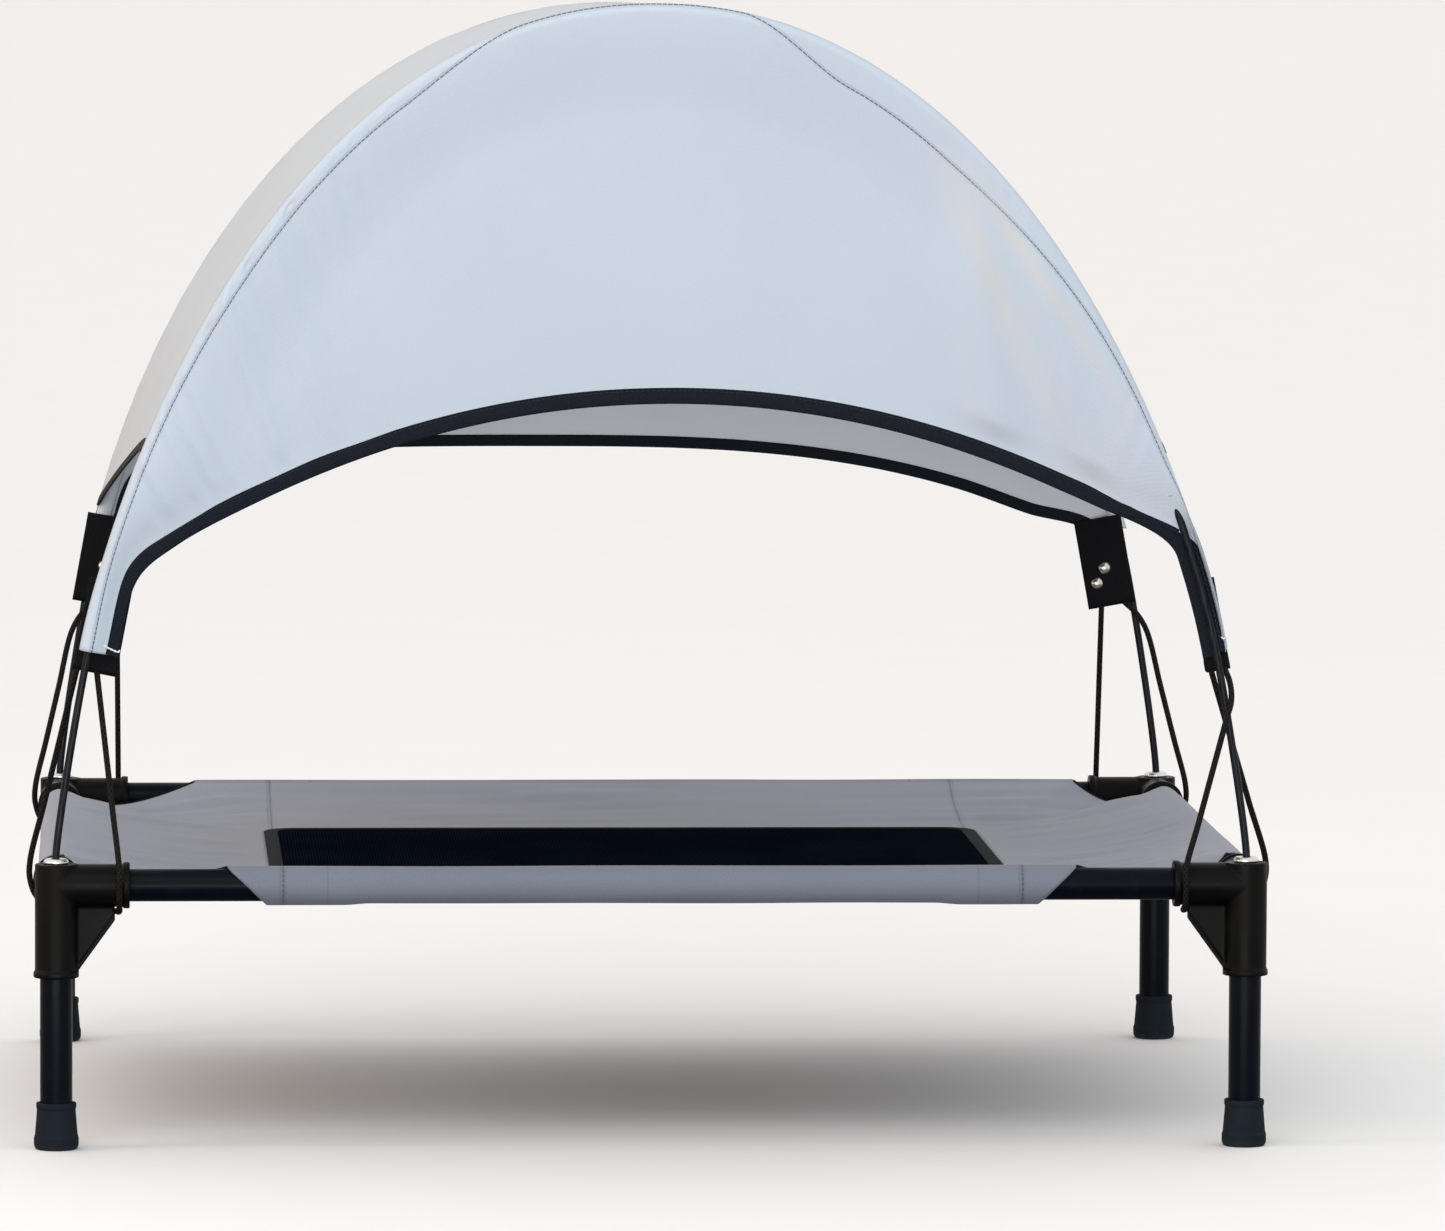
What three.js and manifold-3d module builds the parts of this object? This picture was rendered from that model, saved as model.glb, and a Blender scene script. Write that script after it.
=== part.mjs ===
// Raised pet cot with a clip-on shade canopy.
// Units are millimetres, +Z is up, -Y is the front, and the origin is on the floor under the middle.
// Eight steel tubes meet in four corner connectors.  Two pole arches stand in sockets on the corners and
// carry the canopy, and an elastic loop at each corner ties the canopy down.
import * as THREE from "three";
import { mergeVertices } from "three/addons/utils/BufferGeometryUtils.js";
import Module from "manifold-3d";

const wasm = await Module();
wasm.setup();

// ---- Driving dimensions ---------------------------------------------------------------------------

const LEG_X = 392.5; // leg axes, half of their spacing along X
const LEG_Y = 303.5; // and along Y
const RAIL_Z = 174.3; // axis of the four rails
const CORNER_TOP = 188.5; // top of the corner connectors
const CORNER_BOTTOM = 113.5; // where the legs enter them
const FIT = 0.3; // air between pieces that touch on the real object

const TUBE = { radius: 10.65, bore: 9.45 };
const SOCKET_BORE = TUBE.radius + FIT;
const TUBE_SIDES = 16;

const CONNECTOR = { radius: 14, armLength: 44, web: 16, legStop: 160 };
const COLLAR = { radius: 15, length: 4 };
const GUSSET = { thickness: 5, inner: 13, reach: 38, top: 161, endBottom: 152.7, bottom: 116 };
const FOOT = { floor: 6, height: 31 };
const FERRULE = { radius: 7.25, bore: 3.1, bottom: 164.3, floor: 167, top: 192, sides: 12 };

const POLE = { radius: 2.5, sides: 8, tip: 167.4, mouth: 196, straightTo: 150, steps: 24 };
const JOINER = { bore: 3.05, radius: 3.6, length: 50 };
const SLEEVE = { bore: 4.4, radius: 5.2, sides: 8, steps: 30 };

// Each arch follows (x / half)^p + (h / rise)^q = 1 above the corner tops, from `straightTo` upwards.
// hem: h = crown - drop * (|x - centre| / span)^power, out to x = turn on both sides, where it turns
// down beside the pole to end at tipHeight.
const ARCHES = {
  front: {
    side: -1,
    half: 390,
    rise: 559.3,
    p: 2.11,
    q: 1.685,
    tipHeight: 140,
    hem: { crown: 302.8, centre: 12, drop: 102, span: 340, power: 2.05, turn: 340, tipGap: 4, tape: 10.7 },
    tab: { from: -8, to: 21, length: 58, rivet: 9.5 },
  },
  rear: {
    side: 1,
    half: 387,
    rise: 547.7,
    p: 2.05,
    q: 1.9,
    tipHeight: 132,
    hem: { crown: 237.3, centre: -60, drop: 52, span: 368, power: 3.05, turn: 324, tipGap: 5, tape: 8.3 },
    tab: { from: -1.5, to: 32.5, length: 60, rivet: 16.5 },
  },
};

const CLOTH = 1.0; // canopy cloth, as a plain solid
const BINDING = 2.0; // thickness of the folded tape on the canopy's edges
const PANEL = { outset: 3.6, inset: 5.0, frontHem: 275, rearHem: 193, sideBinding: 8 };
const TAB = { thickness: 1.8, inset: 6.5, bottom: 130, rivetLow: 14, rivetHigh: 24 };
const RIVET = { head: 4.5, headHeight: 1.8, shank: 1.5, spread: 7 };
const LOOP = { radius: 2, sides: 8, steps: 46, clear: 1.4, grip: 41.4, low: 156.2, hookTop: 186 };

// The cover's cloth runs round the rails; slant is how much further it reaches on top than underneath.
const COVER = { bore: 11.3, radius: 12.5, slant: 13, sideSlant: 13, cloth: 1.0 };
const DECK = { edgeRadius: 11.75, floor: 165, corner: { x: 366.8, y: 266.3, z: 161.6 } };
const MESH = { halfX: 240, halfY: 157, corner: 14, border: 9, thickness: 0.8, borderThickness: 1.4 };

// ---- Finishes ------------------------------------------------------------------------------------

const FINISHES = {
  steel: { color: 0x17181b, roughness: 0.38, metalness: 0.6 },
  plastic: { color: 0x121316, roughness: 0.5, metalness: 0 },
  rubber: { color: 0x0d0d0e, roughness: 0.85, metalness: 0 },
  silver: { color: 0xd9dadd, roughness: 0.35, metalness: 1 },
  fibreglass: { color: 0x22262c, roughness: 0.35, metalness: 0 },
  cover: { color: 0x8f979f, roughness: 0.85, metalness: 0 },
  mesh: { color: 0x0f1720, roughness: 0.8, metalness: 0 },
  canopy: { color: 0xc6d0db, roughness: 0.8, metalness: 0 },
  webbing: { color: 0x0b0c0e, roughness: 0.8, metalness: 0 },
  elastic: { color: 0x0d0c0c, roughness: 0.75, metalness: 0 },
};

const model = new THREE.Group();

function addPart(name, geometry, finish) {
  const mesh = new THREE.Mesh(geometry, new THREE.MeshStandardMaterial(FINISHES[finish]));
  mesh.name = name;
  model.add(mesh);
  return mesh;
}

// ---- Solids --------------------------------------------------------------------------------------

function bare(geometry) {
  const plain = geometry.clone();
  for (const name of Object.keys(plain.attributes)) {
    if (name !== "position") {
      plain.deleteAttribute(name);
    }
  }
  return mergeVertices(plain, 1e-4);
}

function solidOf(geometry) {
  const welded = bare(geometry);
  const vertProperties = new Float32Array(welded.attributes.position.array);
  const triVerts = new Uint32Array(welded.index.array);
  return new wasm.Manifold(new wasm.Mesh({ numProp: 3, vertProperties, triVerts }));
}

function geometryOf(solid) {
  const mesh = solid.getMesh();
  const geometry = new THREE.BufferGeometry();
  geometry.setAttribute("position", new THREE.BufferAttribute(mesh.vertProperties, 3));
  geometry.setIndex(new THREE.BufferAttribute(mesh.triVerts, 1));
  geometry.computeVertexNormals();
  return geometry;
}

// A round bar along +Z from low to high.
function barZ(radius, low, high, sides = TUBE_SIDES) {
  const geometry = new THREE.CylinderGeometry(radius, radius, high - low, sides);
  geometry.rotateX(Math.PI / 2);
  geometry.translate(0, 0, (low + high) / 2);
  return geometry;
}

// The same bar lying along +X at the rails' height.
function barX(radius, low, high, sides = TUBE_SIDES) {
  const geometry = barZ(radius, low, high, sides);
  geometry.rotateY(Math.PI / 2);
  geometry.translate(0, 0, RAIL_Z);
  return geometry;
}

function barY(radius, low, high, sides = TUBE_SIDES) {
  return barX(radius, low, high, sides).rotateZ(Math.PI / 2);
}

function turned(profile, sides) {
  const points = profile.map(([radius, z]) => new THREE.Vector2(radius, z));
  return new THREE.LatheGeometry(points, sides).rotateX(Math.PI / 2);
}

function ring(radius, bore, sides) {
  const outline = new THREE.Shape();
  const hole = new THREE.Path();
  for (let i = 0; i < sides; i += 1) {
    const angle = (2 * Math.PI * i) / sides;
    const place = i === 0 ? "moveTo" : "lineTo";
    outline[place](radius * Math.cos(angle), radius * Math.sin(angle));
    if (bore > 0) {
      hole[place](bore * Math.cos(-angle), bore * Math.sin(-angle));
    }
  }
  if (bore > 0) {
    outline.holes.push(hole);
  }
  return outline;
}

// A round tube or rod that follows a curve.
function follow(curve, { radius, bore = 0, sides, steps }) {
  const options = { steps, extrudePath: curve, bevelEnabled: false };
  return new THREE.ExtrudeGeometry(ring(radius, bore, sides), options);
}

// A straight tube along +Z.
function tubeZ(radius, bore, low, high) {
  const options = { depth: high - low, bevelEnabled: false };
  return new THREE.ExtrudeGeometry(ring(radius, bore, TUBE_SIDES), options).translate(0, 0, low);
}

// A sheet of the given thickness on a grid of middle-surface points; closed makes its rows endless.
function sheetSolid(rows, thickness, closed = false) {
  const rowCount = rows.length;
  const columnCount = rows[0].length;
  const clamp = (index, count) => THREE.MathUtils.clamp(index, 0, count - 1);
  const wrap = (column) => (closed ? (column + columnCount) % columnCount : clamp(column, columnCount));
  const point = (row, column) => rows[clamp(row, rowCount)][wrap(column)];
  const vertices = [];
  for (const offset of [thickness / 2, -thickness / 2]) {
    for (let row = 0; row < rowCount; row += 1) {
      for (let column = 0; column < columnCount; column += 1) {
        const along = point(row, column + 1).clone().sub(point(row, column - 1));
        const across = point(row + 1, column).clone().sub(point(row - 1, column));
        const normal = along.cross(across).normalize();
        vertices.push(...normal.multiplyScalar(offset).add(point(row, column)).toArray());
      }
    }
  }
  const layer = rowCount * columnCount;
  const at = (side, row, column) => side * layer + row * columnCount + wrap(column);
  const faces = [];
  const quad = (a, b, c, d) => faces.push(a, b, c, a, c, d);
  // Closes the rim between two neighbouring grid points.
  const rim = ([rowA, columnA], [rowB, columnB]) => {
    quad(at(0, rowA, columnA), at(0, rowB, columnB), at(1, rowB, columnB), at(1, rowA, columnA));
  };
  const lastColumn = closed ? columnCount : columnCount - 1;
  const lastRow = rowCount - 1;
  for (let row = 0; row < lastRow; row += 1) {
    const next = row + 1;
    for (let column = 0; column < lastColumn; column += 1) {
      const beside = column + 1;
      quad(at(0, row, column), at(0, row, beside), at(0, next, beside), at(0, next, column));
      quad(at(1, row, column), at(1, next, column), at(1, next, beside), at(1, row, beside));
    }
    if (!closed) {
      rim([row, 0], [next, 0]);
      rim([next, lastColumn], [row, lastColumn]);
    }
  }
  for (let column = 0; column < lastColumn; column += 1) {
    rim([0, column + 1], [0, column]);
    rim([lastRow, column], [lastRow, column + 1]);
  }
  const geometry = new THREE.BufferGeometry();
  geometry.setAttribute("position", new THREE.Float32BufferAttribute(vertices, 3));
  geometry.setIndex(faces);
  geometry.computeVertexNormals();
  return geometry;
}

// ---- Corners of the cot --------------------------------------------------------------------------

// longReach and shortReach: how far the bed cover runs along the long and the short rail.
const CORNERS = [
  { name: "front_left", x: -1, y: -1, longReach: 280, shortReach: 220 },
  { name: "front_right", x: 1, y: -1, longReach: 280, shortReach: 220 },
  { name: "rear_left", x: -1, y: 1, longReach: 297, shortReach: 235 },
  { name: "rear_right", x: 1, y: 1, longReach: 333, shortReach: 246 },
];
const [FRONT_LEFT, FRONT_RIGHT, REAR_LEFT, REAR_RIGHT] = CORNERS;

// A corner's own coordinates: a runs inwards along X and b inwards along Y from the leg's axis.
function fromCorner(corner, a, b, z) {
  return new THREE.Vector3(corner.x * (LEG_X - a), corner.y * (LEG_Y - b), z);
}

function gusset() {
  const outline = new THREE.Shape([
    new THREE.Vector2(GUSSET.inner, GUSSET.bottom),
    new THREE.Vector2(GUSSET.reach, GUSSET.endBottom),
    new THREE.Vector2(GUSSET.reach, GUSSET.top),
    new THREE.Vector2(GUSSET.inner, GUSSET.top),
  ]);
  const options = { depth: GUSSET.thickness, bevelEnabled: false };
  const geometry = new THREE.ExtrudeGeometry(outline, options);
  return geometry.rotateX(Math.PI / 2).translate(0, GUSSET.thickness / 2, 0);
}

// The connector in its own frame: its arms run along +X and +Y.
function connectorGeometry() {
  const { radius, armLength, web, legStop } = CONNECTOR;
  const reach = armLength + COLLAR.length;
  const joined = [
    barX(radius, 0, reach),
    barX(COLLAR.radius, armLength, reach),
    barY(radius, 0, reach),
    barY(COLLAR.radius, armLength, reach),
    gusset(),
    gusset().rotateZ(Math.PI / 2),
  ];
  const cut = [
    barZ(SOCKET_BORE, CORNER_BOTTOM - 1, legStop),
    barZ(FERRULE.radius + FIT, FERRULE.bottom - FIT, CORNER_TOP + 1, FERRULE.sides),
    barX(SOCKET_BORE, web, reach + 1),
    barY(SOCKET_BORE, web, reach + 1),
  ];
  let solid = solidOf(barZ(radius, CORNER_BOTTOM, CORNER_TOP));
  for (const piece of joined) {
    solid = solid.add(solidOf(piece));
  }
  for (const piece of cut) {
    solid = solid.subtract(solidOf(piece));
  }
  return geometryOf(solid);
}

// Turns that carry the connector's +X and +Y arms to point inwards at each corner.
const QUARTER = Math.PI / 2;
const INWARD_TURN = { front_left: 0, front_right: QUARTER, rear_right: 2 * QUARTER, rear_left: -QUARTER };

const footProfile = [
  [0, 0],
  [13.2, 0],
  [14.75, 2.5],
  [14.75, 8],
  [12.6, 27],
  [13.1, 28],
  [13.1, FOOT.height],
  [SOCKET_BORE, FOOT.height],
  [SOCKET_BORE, FOOT.floor],
  [0, FOOT.floor],
];

const ferruleProfile = [
  [0, FERRULE.bottom],
  [FERRULE.radius, FERRULE.bottom],
  [FERRULE.radius, FERRULE.top - 0.8],
  [FERRULE.radius - 0.8, FERRULE.top],
  [FERRULE.bore, FERRULE.top],
  [FERRULE.bore, FERRULE.floor],
  [0, FERRULE.floor],
];

for (const corner of CORNERS) {
  const place = fromCorner(corner, 0, 0, 0);
  const connector = addPart(`corner_connector_${corner.name}`, connectorGeometry(), "plastic");
  connector.position.copy(place);
  connector.rotation.z = INWARD_TURN[corner.name];
  const leg = tubeZ(TUBE.radius, TUBE.bore, FOOT.floor + FIT, CONNECTOR.legStop - FIT);
  addPart(`leg_tube_${corner.name}`, leg, "steel").position.copy(place);
  addPart(`foot_${corner.name}`, turned(footProfile, TUBE_SIDES), "rubber").position.copy(place);
  const socket = turned(ferruleProfile, FERRULE.sides);
  addPart(`pole_socket_${corner.name}`, socket, "silver").position.copy(place);
}

// ---- Rails ---------------------------------------------------------------------------------------

function rail(name, axis, offset, halfSpan) {
  const half = halfSpan - CONNECTOR.web - FIT;
  const mesh = addPart(name, tubeZ(TUBE.radius, TUBE.bore, -half, half), "steel");
  if (axis === "x") {
    mesh.rotation.y = Math.PI / 2;
    mesh.position.set(0, offset, RAIL_Z);
  } else {
    mesh.rotation.x = Math.PI / 2;
    mesh.position.set(offset, 0, RAIL_Z);
  }
}

rail("front_rail", "x", -LEG_Y, LEG_X);
rail("rear_rail", "x", LEG_Y, LEG_X);
rail("left_rail", "y", -LEG_X, LEG_Y);
rail("right_rail", "y", LEG_X, LEG_Y);

// ---- Bed cover -----------------------------------------------------------------------------------

const CORNER_STEPS = 5;
const LONG_EDGE_STEPS = 5;
const SHORT_EDGE_STEPS = 3;
const DECK_ROWS = 4;

// One quarter of the deck's outer edge, from the middle of a long rail to the middle of a short one.
function deckEdgeQuarter(corner) {
  const { longReach, shortReach } = corner;
  const inset = DECK.edgeRadius * Math.SQRT1_2;
  const edgeX = LEG_X - inset;
  const edgeY = LEG_Y - inset;
  const edgeZ = RAIL_Z + inset;
  const flip = (x, y, z) => new THREE.Vector3(corner.x * x, corner.y * y, z);
  const freeEdge = new THREE.QuadraticBezierCurve3(
    flip(longReach, edgeY, edgeZ),
    flip(DECK.corner.x, DECK.corner.y, DECK.corner.z),
    flip(edgeX, shortReach, edgeZ),
  );
  const points = [];
  for (let i = 0; i < LONG_EDGE_STEPS; i += 1) {
    points.push(flip((longReach * i) / LONG_EDGE_STEPS, edgeY, edgeZ));
  }
  points.push(...freeEdge.getPoints(CORNER_STEPS));
  for (let i = 1; i <= SHORT_EDGE_STEPS; i += 1) {
    points.push(flip(edgeX, shortReach * (1 - i / SHORT_EDGE_STEPS), edgeZ));
  }
  return points;
}

// The same quarter of the opening that the mesh panel fills.
function deckHoleQuarter(corner) {
  const halfX = MESH.halfX + MESH.border + FIT;
  const halfY = MESH.halfY + MESH.border + FIT;
  const round = MESH.corner + MESH.border;
  const points = [];
  for (let i = 0; i < LONG_EDGE_STEPS; i += 1) {
    points.push([((halfX - round) * i) / LONG_EDGE_STEPS, halfY]);
  }
  for (let i = 0; i <= CORNER_STEPS; i += 1) {
    const angle = (Math.PI / 2) * (1 - i / CORNER_STEPS);
    points.push([halfX - round + round * Math.cos(angle), halfY - round + round * Math.sin(angle)]);
  }
  for (let i = 1; i <= SHORT_EDGE_STEPS; i += 1) {
    points.push([halfX, (halfY - round) * (1 - i / SHORT_EDGE_STEPS)]);
  }
  return points.map(([x, y]) => new THREE.Vector3(corner.x * x, corner.y * y, DECK.floor));
}

// Joins four quarters into one loop, counter-clockwise seen from above, with no point twice.
function loopOf(quarter) {
  const [frontLeft, frontRight, rearLeft, rearRight] = CORNERS.map(quarter);
  const loop = [];
  loop.push(...frontRight.slice(0, -1));
  loop.push(...rearRight.reverse().slice(0, -1));
  loop.push(...rearLeft.slice(0, -1));
  loop.push(...frontLeft.reverse().slice(0, -1));
  return loop;
}

function deckGeometry() {
  const outer = loopOf(deckEdgeQuarter);
  const inner = loopOf(deckHoleQuarter);
  const rows = [];
  for (let row = 0; row <= DECK_ROWS; row += 1) {
    const share = 1 - row / DECK_ROWS;
    rows.push(
      outer.map((edge, i) => {
        const point = inner[i].clone().lerp(edge, share);
        point.z = THREE.MathUtils.lerp(inner[i].z, edge.z, share ** 1.7);
        return point;
      }),
    );
  }
  return sheetSolid(rows, COVER.cloth, true);
}

// A sleeve of cloth along X from -low to high on top, and shorter underneath.
function railSleeve(low, high, slant) {
  const geometry = tubeZ(COVER.radius, COVER.bore, slant - low, high - slant).rotateY(Math.PI / 2);
  const position = geometry.attributes.position;
  for (let i = 0; i < position.count; i += 1) {
    const x = position.getX(i);
    position.setX(i, x + Math.sign(x) * slant * (position.getZ(i) / COVER.radius));
  }
  return geometry;
}

function coverGeometry() {
  let solid = solidOf(deckGeometry());
  for (const [left, right] of [[FRONT_LEFT, FRONT_RIGHT], [REAR_LEFT, REAR_RIGHT]]) {
    const sleeve = railSleeve(left.longReach, right.longReach, COVER.slant);
    solid = solid.add(solidOf(sleeve.translate(0, left.y * LEG_Y, RAIL_Z)));
  }
  for (const [front, rear] of [[FRONT_LEFT, REAR_LEFT], [FRONT_RIGHT, REAR_RIGHT]]) {
    const sleeve = railSleeve(front.shortReach, rear.shortReach, COVER.sideSlant);
    sleeve.rotateZ(Math.PI / 2).translate(front.x * LEG_X, 0, RAIL_Z);
    solid = solid.add(solidOf(sleeve));
  }
  return geometryOf(solid);
}

function roundedRectangle(target, halfX, halfY, round) {
  target.moveTo(-halfX + round, -halfY);
  target.lineTo(halfX - round, -halfY);
  target.absarc(halfX - round, -halfY + round, round, -Math.PI / 2, 0);
  target.lineTo(halfX, halfY - round);
  target.absarc(halfX - round, halfY - round, round, 0, Math.PI / 2);
  target.lineTo(-halfX + round, halfY);
  target.absarc(-halfX + round, halfY - round, round, Math.PI / 2, Math.PI);
  target.lineTo(-halfX, -halfY + round);
  target.absarc(-halfX + round, -halfY + round, round, Math.PI, 1.5 * Math.PI);
  return target;
}

function flatPiece(shape, thickness) {
  const options = { depth: thickness, bevelEnabled: false, curveSegments: CORNER_STEPS };
  return new THREE.ExtrudeGeometry(shape, options).translate(0, 0, DECK.floor - thickness / 2);
}

function meshBorderShape() {
  const { halfX, halfY, corner, border } = MESH;
  const shape = roundedRectangle(new THREE.Shape(), halfX + border, halfY + border, corner + border);
  shape.holes.push(roundedRectangle(new THREE.Path(), halfX, halfY, corner));
  return shape;
}

const panelShape = roundedRectangle(new THREE.Shape(), MESH.halfX - FIT, MESH.halfY - FIT, MESH.corner);
addPart("bed_cover", coverGeometry(), "cover");
addPart("mesh_panel", flatPiece(panelShape, MESH.thickness), "mesh");
addPart("mesh_border", flatPiece(meshBorderShape(), MESH.borderThickness), "webbing");

// ---- Pole arches ---------------------------------------------------------------------------------

// Half-width of an arch at height h above the corner tops.
function archHalf(arch, h) {
  return arch.half * (1 - (h / arch.rise) ** arch.q) ** (1 / arch.p);
}

// A point on the arch, from its right-hand straight foot over the crown: angle 0 to pi.
function archPoint(arch, angle) {
  const x = arch.half * Math.sign(Math.cos(angle)) * Math.abs(Math.cos(angle)) ** (2 / arch.p);
  const h = arch.rise * Math.sin(angle) ** (2 / arch.q);
  return new THREE.Vector3(x, arch.side * LEG_Y, CORNER_TOP + h);
}

function angleAtHeight(arch, h) {
  return Math.asin((h / arch.rise) ** (arch.q / 2));
}

// The whole pole line: upright in the sockets, straight up to `straightTo`, and the arch above that.
function poleLine(arch) {
  const bends = 22;
  const start = angleAtHeight(arch, POLE.straightTo);
  const y = arch.side * LEG_Y;
  const uprightEnds = [POLE.tip, (POLE.tip + POLE.mouth) / 2, POLE.mouth];
  const right = uprightEnds.map((z) => new THREE.Vector3(LEG_X, y, z));
  const left = uprightEnds.map((z) => new THREE.Vector3(-LEG_X, y, z)).reverse();
  const over = [];
  for (let i = 0; i <= bends; i += 1) {
    over.push(archPoint(arch, THREE.MathUtils.lerp(start, Math.PI - start, i / bends)));
  }
  return new THREE.CatmullRomCurve3([...right, ...over, ...left]);
}

// A stretch of a longer curve, by its share of the length.
class Stretch extends THREE.Curve {
  constructor(whole, from, to) {
    super();
    this.whole = whole;
    this.from = from;
    this.to = to;
  }

  getPoint(t, target = new THREE.Vector3()) {
    return this.whole.getPointAt(THREE.MathUtils.lerp(this.from, this.to, t), target);
  }
}

// Share of a pole line's length at which it reaches height h on its right-hand side.
function shareAtHeight(line, h) {
  let low = 0;
  let high = 0.5;
  for (let i = 0; i < 30; i += 1) {
    const middle = (low + high) / 2;
    if (line.getPointAt(middle).z < CORNER_TOP + h) {
      low = middle;
    } else {
      high = middle;
    }
  }
  return low;
}

function poleParts(name, arch) {
  const line = poleLine(arch);
  const length = line.getLength();
  const gap = FIT / length;
  const steps = POLE.steps;
  const bar = { radius: POLE.radius, sides: POLE.sides, steps };
  addPart(`${name}_pole_right_half`, follow(new Stretch(line, 0, 0.5 - gap), bar), "fibreglass");
  addPart(`${name}_pole_left_half`, follow(new Stretch(line, 0.5 + gap, 1), bar), "fibreglass");
  const halfJoiner = JOINER.length / 2 / length;
  const crown = new Stretch(line, 0.5 - halfJoiner, 0.5 + halfJoiner);
  const joiner = { radius: JOINER.radius, bore: JOINER.bore, sides: POLE.sides, steps: 2 };
  addPart(`${name}_pole_joiner`, follow(crown, joiner), "silver");
}

// ---- Canopy --------------------------------------------------------------------------------------

// Calls place with the shares from 0 to 1 that split a row into equal steps.
function evenly(steps, place) {
  return Array.from({ length: steps + 1 }, (_, i) => place(i / steps));
}

// The pole line moved square to itself within the arch's plane; positive is inwards.
function besidePole(line, share, inwards) {
  const point = line.getPointAt(share);
  const tangent = line.getTangentAt(share);
  const inward = new THREE.Vector3(-tangent.z, 0, tangent.x);
  return point.addScaledVector(inward, inwards);
}

function hemHeight(hem, x) {
  return hem.crown - hem.drop * (Math.abs(x - hem.centre) / hem.span) ** hem.power;
}

const HEM_SPANS = 6;
const HEM_START = 0.92; // share of the hem's half width at which its curve leaves the turn

// The valance's lower edge from the right-hand tip to the left-hand tip.
function hemLine(arch, line) {
  const { hem, tipHeight } = arch;
  const offset = SLEEVE.radius + hem.tipGap + hem.tape;
  const half = (side) => {
    const turnHeight = hemHeight(hem, side * hem.turn);
    const points = [tipHeight, turnHeight].map((h) => besidePole(line, shareAtHeight(line, h), offset));
    for (const point of points) {
      point.x *= side;
    }
    for (let i = 0; i <= HEM_SPANS; i += 1) {
      const x = side * hem.turn * HEM_START * (1 - i / HEM_SPANS);
      points.push(new THREE.Vector3(x, arch.side * LEG_Y, CORNER_TOP + hemHeight(hem, x)));
    }
    return points;
  };
  const points = [...half(1), ...half(-1).reverse().slice(1)];
  return new THREE.CatmullRomCurve3(points, false, "centripetal");
}

// The edge tape's inner line: the hem moved up by the tape's width.
function tapeTop(hemCurve, share, width) {
  const point = hemCurve.getPointAt(share);
  const tangent = hemCurve.getTangentAt(share);
  const up = new THREE.Vector3(tangent.z, 0, -tangent.x);
  return point.addScaledVector(up, width);
}

function valanceParts(name, arch, line) {
  const columns = SLEEVE.steps;
  const rowsDown = 3;
  const start = shareAtHeight(line, arch.tipHeight);
  const hem = hemLine(arch, line);
  const cloth = [];
  for (let row = 0; row <= rowsDown; row += 1) {
    const clothPoint = (share) => {
      const along = THREE.MathUtils.lerp(start, 1 - start, share);
      const bottom = tapeTop(hem, share, arch.hem.tape + FIT);
      return besidePole(line, along, SLEEVE.radius + FIT).lerp(bottom, row / rowsDown);
    };
    cloth.push(evenly(columns, clothPoint));
  }
  addPart(`${name}_valance`, sheetSolid(cloth, CLOTH), "canopy");
  const tape = [];
  for (const width of [arch.hem.tape, 0]) {
    tape.push(evenly(columns, (share) => tapeTop(hem, share, width)));
  }
  addPart(`${name}_hem_binding`, sheetSolid(tape, BINDING), "webbing");
}

function sleevePart(name, arch, line) {
  const start = shareAtHeight(line, arch.tipHeight);
  const { radius, bore, sides, steps } = SLEEVE;
  const tube = follow(new Stretch(line, start, 1 - start), { radius, bore, sides, steps });
  addPart(`${name}_pole_sleeve`, tube, "canopy");
}

const archNames = Object.keys(ARCHES);
const poleLines = {};
for (const name of archNames) {
  poleLines[name] = poleLine(ARCHES[name]);
  poleParts(name, ARCHES[name]);
  sleevePart(name, ARCHES[name], poleLines[name]);
  valanceParts(name, ARCHES[name], poleLines[name]);
}

// A point of the roof: across runs from the right-hand hem over the crown to the left-hand one, and
// back runs from the front sleeve to the rear one.  lift raises the lower ends above the hem line.
function roofPoint(across, back, lift) {
  const ends = {
    front: shareAtHeight(poleLines.front, PANEL.frontHem + lift),
    rear: shareAtHeight(poleLines.rear, PANEL.rearHem + lift),
  };
  const place = (name) => {
    const share = THREE.MathUtils.lerp(ends[name], 1 - ends[name], across);
    const point = besidePole(poleLines[name], share, -PANEL.outset);
    point.y -= ARCHES[name].side * PANEL.inset;
    return point;
  };
  return place("front").lerp(place("rear"), back);
}

function roofParts() {
  const columns = 28;
  const rowsBack = 6;
  const lift = PANEL.sideBinding + FIT;
  const roof = [];
  for (let row = 0; row <= rowsBack; row += 1) {
    roof.push(evenly(columns, (across) => roofPoint(across, row / rowsBack, lift)));
  }
  addPart("canopy_roof", sheetSolid(roof, CLOTH), "canopy");
  for (const [name, across] of [["right", 0], ["left", 1]]) {
    const edge = (raised) => evenly(rowsBack, (back) => roofPoint(across, back, raised));
    const rows = [edge(PANEL.sideBinding), edge(0)];
    const tape = sheetSolid(across === 0 ? rows.reverse() : rows, BINDING);
    addPart(`${name}_side_binding`, tape, "webbing");
  }
}

roofParts();

// ---- Corner tabs, rivets and elastic loops -------------------------------------------------------

// A tab's own frame: n runs inwards square to the pole and s runs up along it from the tab's foot.
function tabFrame(corner, arch, line) {
  const share = shareAtHeight(line, TAB.bottom);
  const foot = line.getPointAt(share);
  const up = line.getTangentAt(share);
  const inward = new THREE.Vector3(-up.z, 0, up.x);
  return (n, s, b) => {
    const point = foot.clone().addScaledVector(inward, n).addScaledVector(up, s);
    return new THREE.Vector3(corner.x * point.x, corner.y * (LEG_Y - b), point.z);
  };
}

// Sets a piece that is built on +Z so that it points along Y at the given place.
function pointAlongY(geometry, place) {
  return geometry.rotateX(Math.PI / 2).translate(place.x, place.y, place.z);
}

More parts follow.
